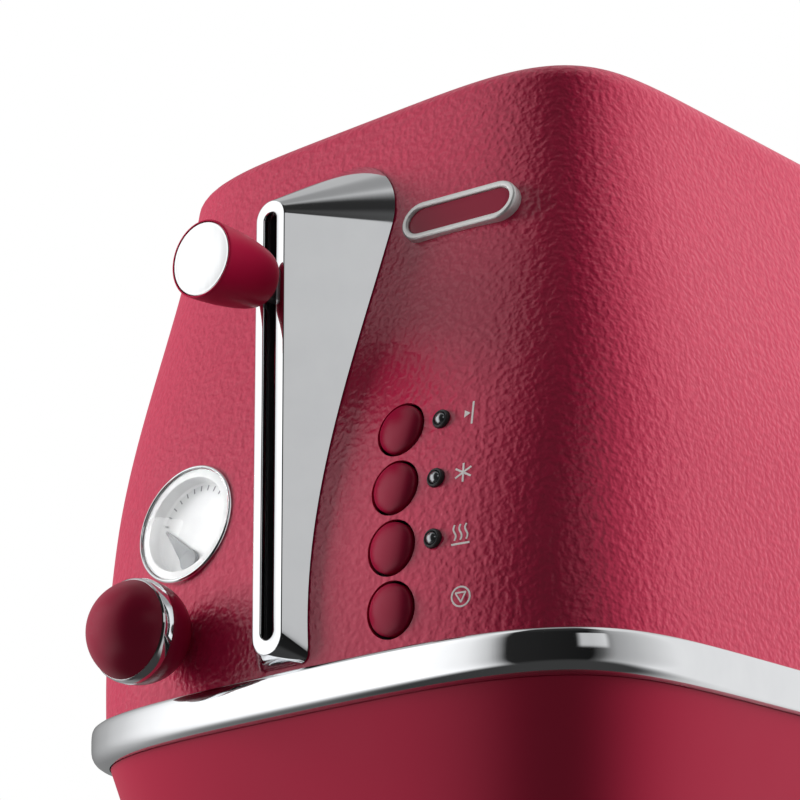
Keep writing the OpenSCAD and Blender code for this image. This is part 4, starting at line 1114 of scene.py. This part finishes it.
def makeGuides():
    tree, names = guideTree()
    for node in ("guide_left_outer", "guide_left_inner", "guide_right_inner", "guide_right_outer"):
        low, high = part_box(node)
        foot = ((low[0] + high[0]) / 2, (low[1] + high[1]) / 2, low[2] + guideSizes["Thick"])
        half = (high[1] - low[1]) / 2
        values = {key: guideSizes[key] for key in ("Wires", "Thin", "Thick")}
        values |= {"Foot": foot, "Half Length": half, "Span": half - 9.2 * mm}
        values["Height"] = high[2] - 1.2 * mm - foot[2]
        name = node.title().replace("_", "").replace("Guide", "guide")
        piece = grow(name, tree, names, values)
        settle(piece, satinChrome, "bright_chrome", node)


def ribbonTree():
    # flat heating ribbon wound round a card, seen from one face
    inputs = {"Start": "Vector", "Rise": "Float", "Rows": "Int", "Size": "Vector"}
    graph, given, names = startTree("heating ribbon", inputs)
    rise = graph.node("ShaderNodeCombineXYZ", values={"Z": given["Rise"]})
    row = graph.node("GeometryNodeMeshLine", {"mode": "OFFSET"}, {
        "Count": given["Rows"], "Start Location": given["Start"], "Offset": rise})
    strip = graph.node("GeometryNodeMeshCube", values={
        "Size": given["Size"], "Vertices X": 2, "Vertices Y": 8, "Vertices Z": 2})
    rows = graph.node("GeometryNodeInstanceOnPoints", values={"Points": row, "Instance": strip})
    endTree(graph, rows, ribbon)
    return graph.tree, names


def makeRibbons():
    tree, names = ribbonTree()
    rows, parts = 12, []
    low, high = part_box("heating_wires")
    size = (0.4 * mm, high[1] - low[1], 1.6 * mm)
    rise = (high[2] - low[2] - size[2]) / (rows - 1)
    for x in (low[0] + 0.2 * mm, high[0] - 0.2 * mm, -6.2 * mm, 6.2 * mm):
        start = (x, (low[1] + high[1]) / 2, low[2] + size[2] / 2)
        parts.append(grow("ribbon", tree, names, {"Start": start, "Rise": rise, "Rows": rows, "Size": size}))
    settle(merge("heatingRibbons", parts), ribbon, "heating_wire", "heating_wires")


def tickTree():
    # short ticks along an arc of the dial
    inputs = {"Radius": "Float", "Sweep": "Float", "Ticks": "Int", "Size": "Vector"}
    graph, given, names = startTree("dial ticks", inputs)
    arc = graph.node("GeometryNodeCurveArc", values={
        "Resolution": given["Ticks"], "Radius": given["Radius"],
        "Start Angle": pi / 2 - given["Sweep"] / 2, "Sweep Angle": given["Sweep"]})
    dots = graph.node("GeometryNodeCurveToPoints", {"mode": "EVALUATED"}, {"Curve": arc}, out="Points")
    tick = graph.node("GeometryNodeMeshCube", values={"Size": given["Size"]})
    place = graph.node("GeometryNodeInputPosition")
    turned = graph.node("FunctionNodeAlignRotationToVector", {"axis": "Y"}, {"Vector": place})
    values = {"Points": dots, "Instance": tick, "Rotation": turned}
    endTree(graph, graph.node("GeometryNodeInstanceOnPoints", values=values), needleGrey)
    return graph.tree, names


def makeTicks():
    tree, names = tickTree()
    values = {"Radius": gauge["tickRadius"], "Sweep": radians(gauge["tickSweep"]), "Ticks": gauge["ticks"],
              "Size": (0.35 * mm, 1.5 * mm, 0.12 * mm)}
    ticks = grow("gaugeTicks", tree, names, values)
    sunk = Matrix.Translation((0, 0, -gauge["dialDepth"] + 0.02 * mm))
    ticks.data.transform(onFace(controls["dialX"], gaugeZ) @ sunk)
    settle(ticks, needleGrey, "needle_grey")


spring = {"turns": 9, "wire": 0.6 * mm, "steps": 28, "sides": 10}


def makeSpring():
    # hooked to the upper tab; a fixed coil that fills the spring's box and rides no body
    low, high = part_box("lift_spring")
    x, y = (low[0] + high[0]) / 2, (low[1] + high[1]) / 2
    wire, steps, sides = spring["wire"], spring["steps"], spring["sides"]
    radius, foot, top = (high[0] - low[0]) / 2 - wire, low[2] + wire, high[2] - wire
    count = spring["turns"] * steps
    bends = [tau * j / sides for j in range(sides)]
    section = [(radius + wire * cos(bend), wire * sin(bend)) for bend in bends]
    rings = []
    for i in range(count + 1):
        turn, z = tau * i / steps, foot + (top - foot) * i / count
        rings.append([(x + reach * cos(turn), y + reach * sin(turn), z + up) for reach, up in section])
    coil = loft("liftSpring", rings, capped=True, creaseAngle=50)
    settle(coil, satinChrome, "bright_chrome", "lift_spring", ride=False)
    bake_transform(coil)


makeCasing()
makeBand()
makeSkirt()
makeDeck()
print("casing, band, skirt and deck made")
makeFin()
makeLeverKnob()
makeGauge()
makeTicks()
makeDialKnob()
makeButtons()
makeLamps()
makeMarks()
makeBadge()
print("lever end made")
makeTrayHandle()
makeGland()
makeFeet()
makeGuides()
makeRibbons()
makeSpring()
print("underside and chassis pieces made")

dress(blackPlastic, "slot_liner", "gauge_housing", "control_bracket", "button_switches")
dress(zinc, "base_plate", "front_frame", "rear_frame", "left_reflector", "right_reflector", "carriage",
      "lifter_left", "lifter_right", "armature", "crumb_tray", "potentiometer", "base_screws", "board_screws",
      "lever_arm", "knob_shaft")
dress(mica, "heater_left_outer", "heater_left_inner", "heater_right_inner", "heater_right_outer")
dress(satinChrome, "guide_rod")
dress(board, "control_board", "power_board")
dress(copper, "electromagnet")


# ---- studio ----

studio = {
    "azimuth": 40.234, "elevation": -18.66, "roll": -1.516, "distance": 0.67684, "lens": 121.365,
    "aim": (0.040863, casing["middle"] - 0.147, casing["foot"] + 0.063422),
    "fill": 0.2,           # the room's even light
    "keyFrom": (-60, 14), "key": 1.3,
    "sideFrom": (136, 18), "side": 1.55,
    "topFrom": (150, 75), "top": 0.45,
    "floorSize": 3.0, "floorFades": (0.3, 0.8),
}
# how bright the room looks in polished metal, by bearing from the lever end, in degrees
roomBearings = [
    (-180, 0.95), (-160, 0.6), (-140, 0.22), (-120, 0.26), (-108, 0.35), (-84, 0.55), (-70, 0.8), (-58, 1.2),
    (-46, 1.5), (-30, 1.5), (-14, 1.1), (-5, 0.7), (4, 0.02), (70, 0.01), (80, 0.12), (92, 0.40), (108, 0.56),
    (120, 0.72), (132, 0.95), (180, 0.95),
]
skyBearings = [
    (-180, 0.6), (-60, 0.5), (-24, 1.0), (-8, 1.0), (4, 0.03), (84, 0.03), (100, 0.8), (150, 0.85),
    (180, 0.6),
]


def lookFrom(azimuth, elevation):
    a, e = radians(azimuth), radians(elevation)
    return Vector((sin(a) * cos(e), -cos(a) * cos(e), sin(e)))


def makeCamera():
    view = bpy.data.cameras.new("camera")
    view.lens = studio["lens"]
    view.sensor_width = 36
    view.clip_start = 0.01
    holder = bpy.data.objects.new("camera", view)
    bpy.context.scene.collection.objects.link(holder)
    back = lookFrom(studio["azimuth"], studio["elevation"])
    right = (-back).cross(Vector((0, 0, 1))).normalized()
    up = right.cross(-back)
    roll = radians(studio["roll"])
    right, up = right * cos(roll) + up * sin(roll), up * cos(roll) - right * sin(roll)
    turn = Matrix((right, up, back)).transposed().to_4x4()
    holder.matrix_world = Matrix.Translation(Vector(studio["aim"]) + back * studio["distance"]) @ turn
    bpy.context.scene.camera = holder


def softbox(name, bearing, level, distance, wide, tall):
    # level is the light it gives to a surface that faces it
    lamp = bpy.data.lights.new(name, "AREA")
    lamp.shape = "RECTANGLE"
    lamp.size, lamp.size_y = wide, tall
    lamp.energy = level * pi * pi * distance * distance
    holder = bpy.data.objects.new(name, lamp)
    away = lookFrom(*bearing)
    holder.location = Vector((0, casing["middle"], 0.11)) + away * distance
    holder.rotation_euler = away.to_track_quat("Z", "Y").to_euler()
    holder.visible_glossy = False
    bpy.context.scene.collection.objects.link(holder)


def makeFloor():
    # seen only from above, and it fades out round the object
    f = Finish("floor")
    colour = f.blend((0.68, 0.68, 0.68), (0.72, 0.72, 0.72), f.noise(6, 3))
    values = {"Base Color": colour, "Roughness": 0.8, "Specular IOR Level": 0.2}
    card = f.node("ShaderNodeBsdfPrincipled", values=values)
    seen = f.node("ShaderNodeLightPath", out="Is Camera Ray")
    under = f.node("ShaderNodeNewGeometry", out="Backfacing")
    point = f.node("ShaderNodeNewGeometry", out="Position")
    away = f.node("ShaderNodeVectorMath", {"operation": "LENGTH"}, {0: point}, out="Value")
    near = f.ramp(away, 1.0, 0.0, *studio["floorFades"])
    clear = f.node("ShaderNodeBsdfTransparent")
    f.finish(f.node("ShaderNodeMixShader", values={0: seen * (1 - under) * near, 1: clear, 2: card}))
    size, turns = studio["floorSize"], [pi * i / 32 for i in range(64)]
    rim = [(size * cos(a), size * sin(a), 0) for a in turns]
    floor = makePiece("floor", rim, [tuple(range(64))])
    floor.data.materials.append(f.material)


def makeWorld():
    world = bpy.data.worlds.new("studio")
    world.use_nodes = True
    world.node_tree.nodes.clear()
    world.cycles.sampling_method = "NONE"
    w = Graph(world.node_tree)
    direction = w.node("ShaderNodeTexCoord", out="Generated")
    x, y, z = (w.node("ShaderNodeSeparateXYZ", values={0: direction}, out=axis) for axis in "XYZ")
    turn = x.sum("ARCTAN2", x, -y) / (2 * pi) + 0.5

    def around(bearings):
        stops = [((b + 180) / 360, (v / 1.5,) * 3) for b, v in bearings]
        return w.node("ShaderNodeValToRGB", {"stops": stops}, {0: turn}) * 1.5

    def between(value, low, high):
        return w.ramp(value, 0, 1, low, high)

    def crossed(first, second, share):
        return first * (1 - share) + second * share

    # a narrow card to the right, the ceiling over the walls and its darker middle, and the dark below
    across = between(turn, 235 / 360, 242 / 360) * (1 - between(turn, 262 / 360, 268 / 360))
    card = across * between(z, 0.17, 0.21) * (1 - between(z, 0.45, 0.49))
    room = crossed(around(roomBearings) + card * 0.62, around(skyBearings), between(z, 0.6, 0.74))
    room = crossed(0.05, crossed(room, 0.35, between(z, 0.93, 0.99)), between(z, -0.82, -0.55))
    camera, through, glossy = (w.node("ShaderNodeLightPath", out="Is %s Ray" % kind)
                               for kind in ("Camera", "Transmission", "Glossy"))
    strength = crossed(crossed(studio["fill"], room, glossy), 1, x.sum("MAXIMUM", camera, through))
    sky = w.node("ShaderNodeBackground", values={"Color": (1, 1, 1, 1), "Strength": strength})
    output = w.tree.nodes.new("ShaderNodeOutputWorld")
    w.tree.links.new(sky.socket, output.inputs["Surface"])
    bpy.context.scene.world = world


makeFloor()
makeWorld()
makeCamera()
softbox("left softbox", studio["keyFrom"], studio["key"], 1.5, 0.75, 0.75)
softbox("right softbox", studio["sideFrom"], studio["side"], 1.5, 0.9, 0.9)
softbox("top softbox", studio["topFrom"], studio["top"], 1.5, 1.2, 1.2)
bpy.context.scene.view_settings.view_transform = "Standard"
print("studio set")
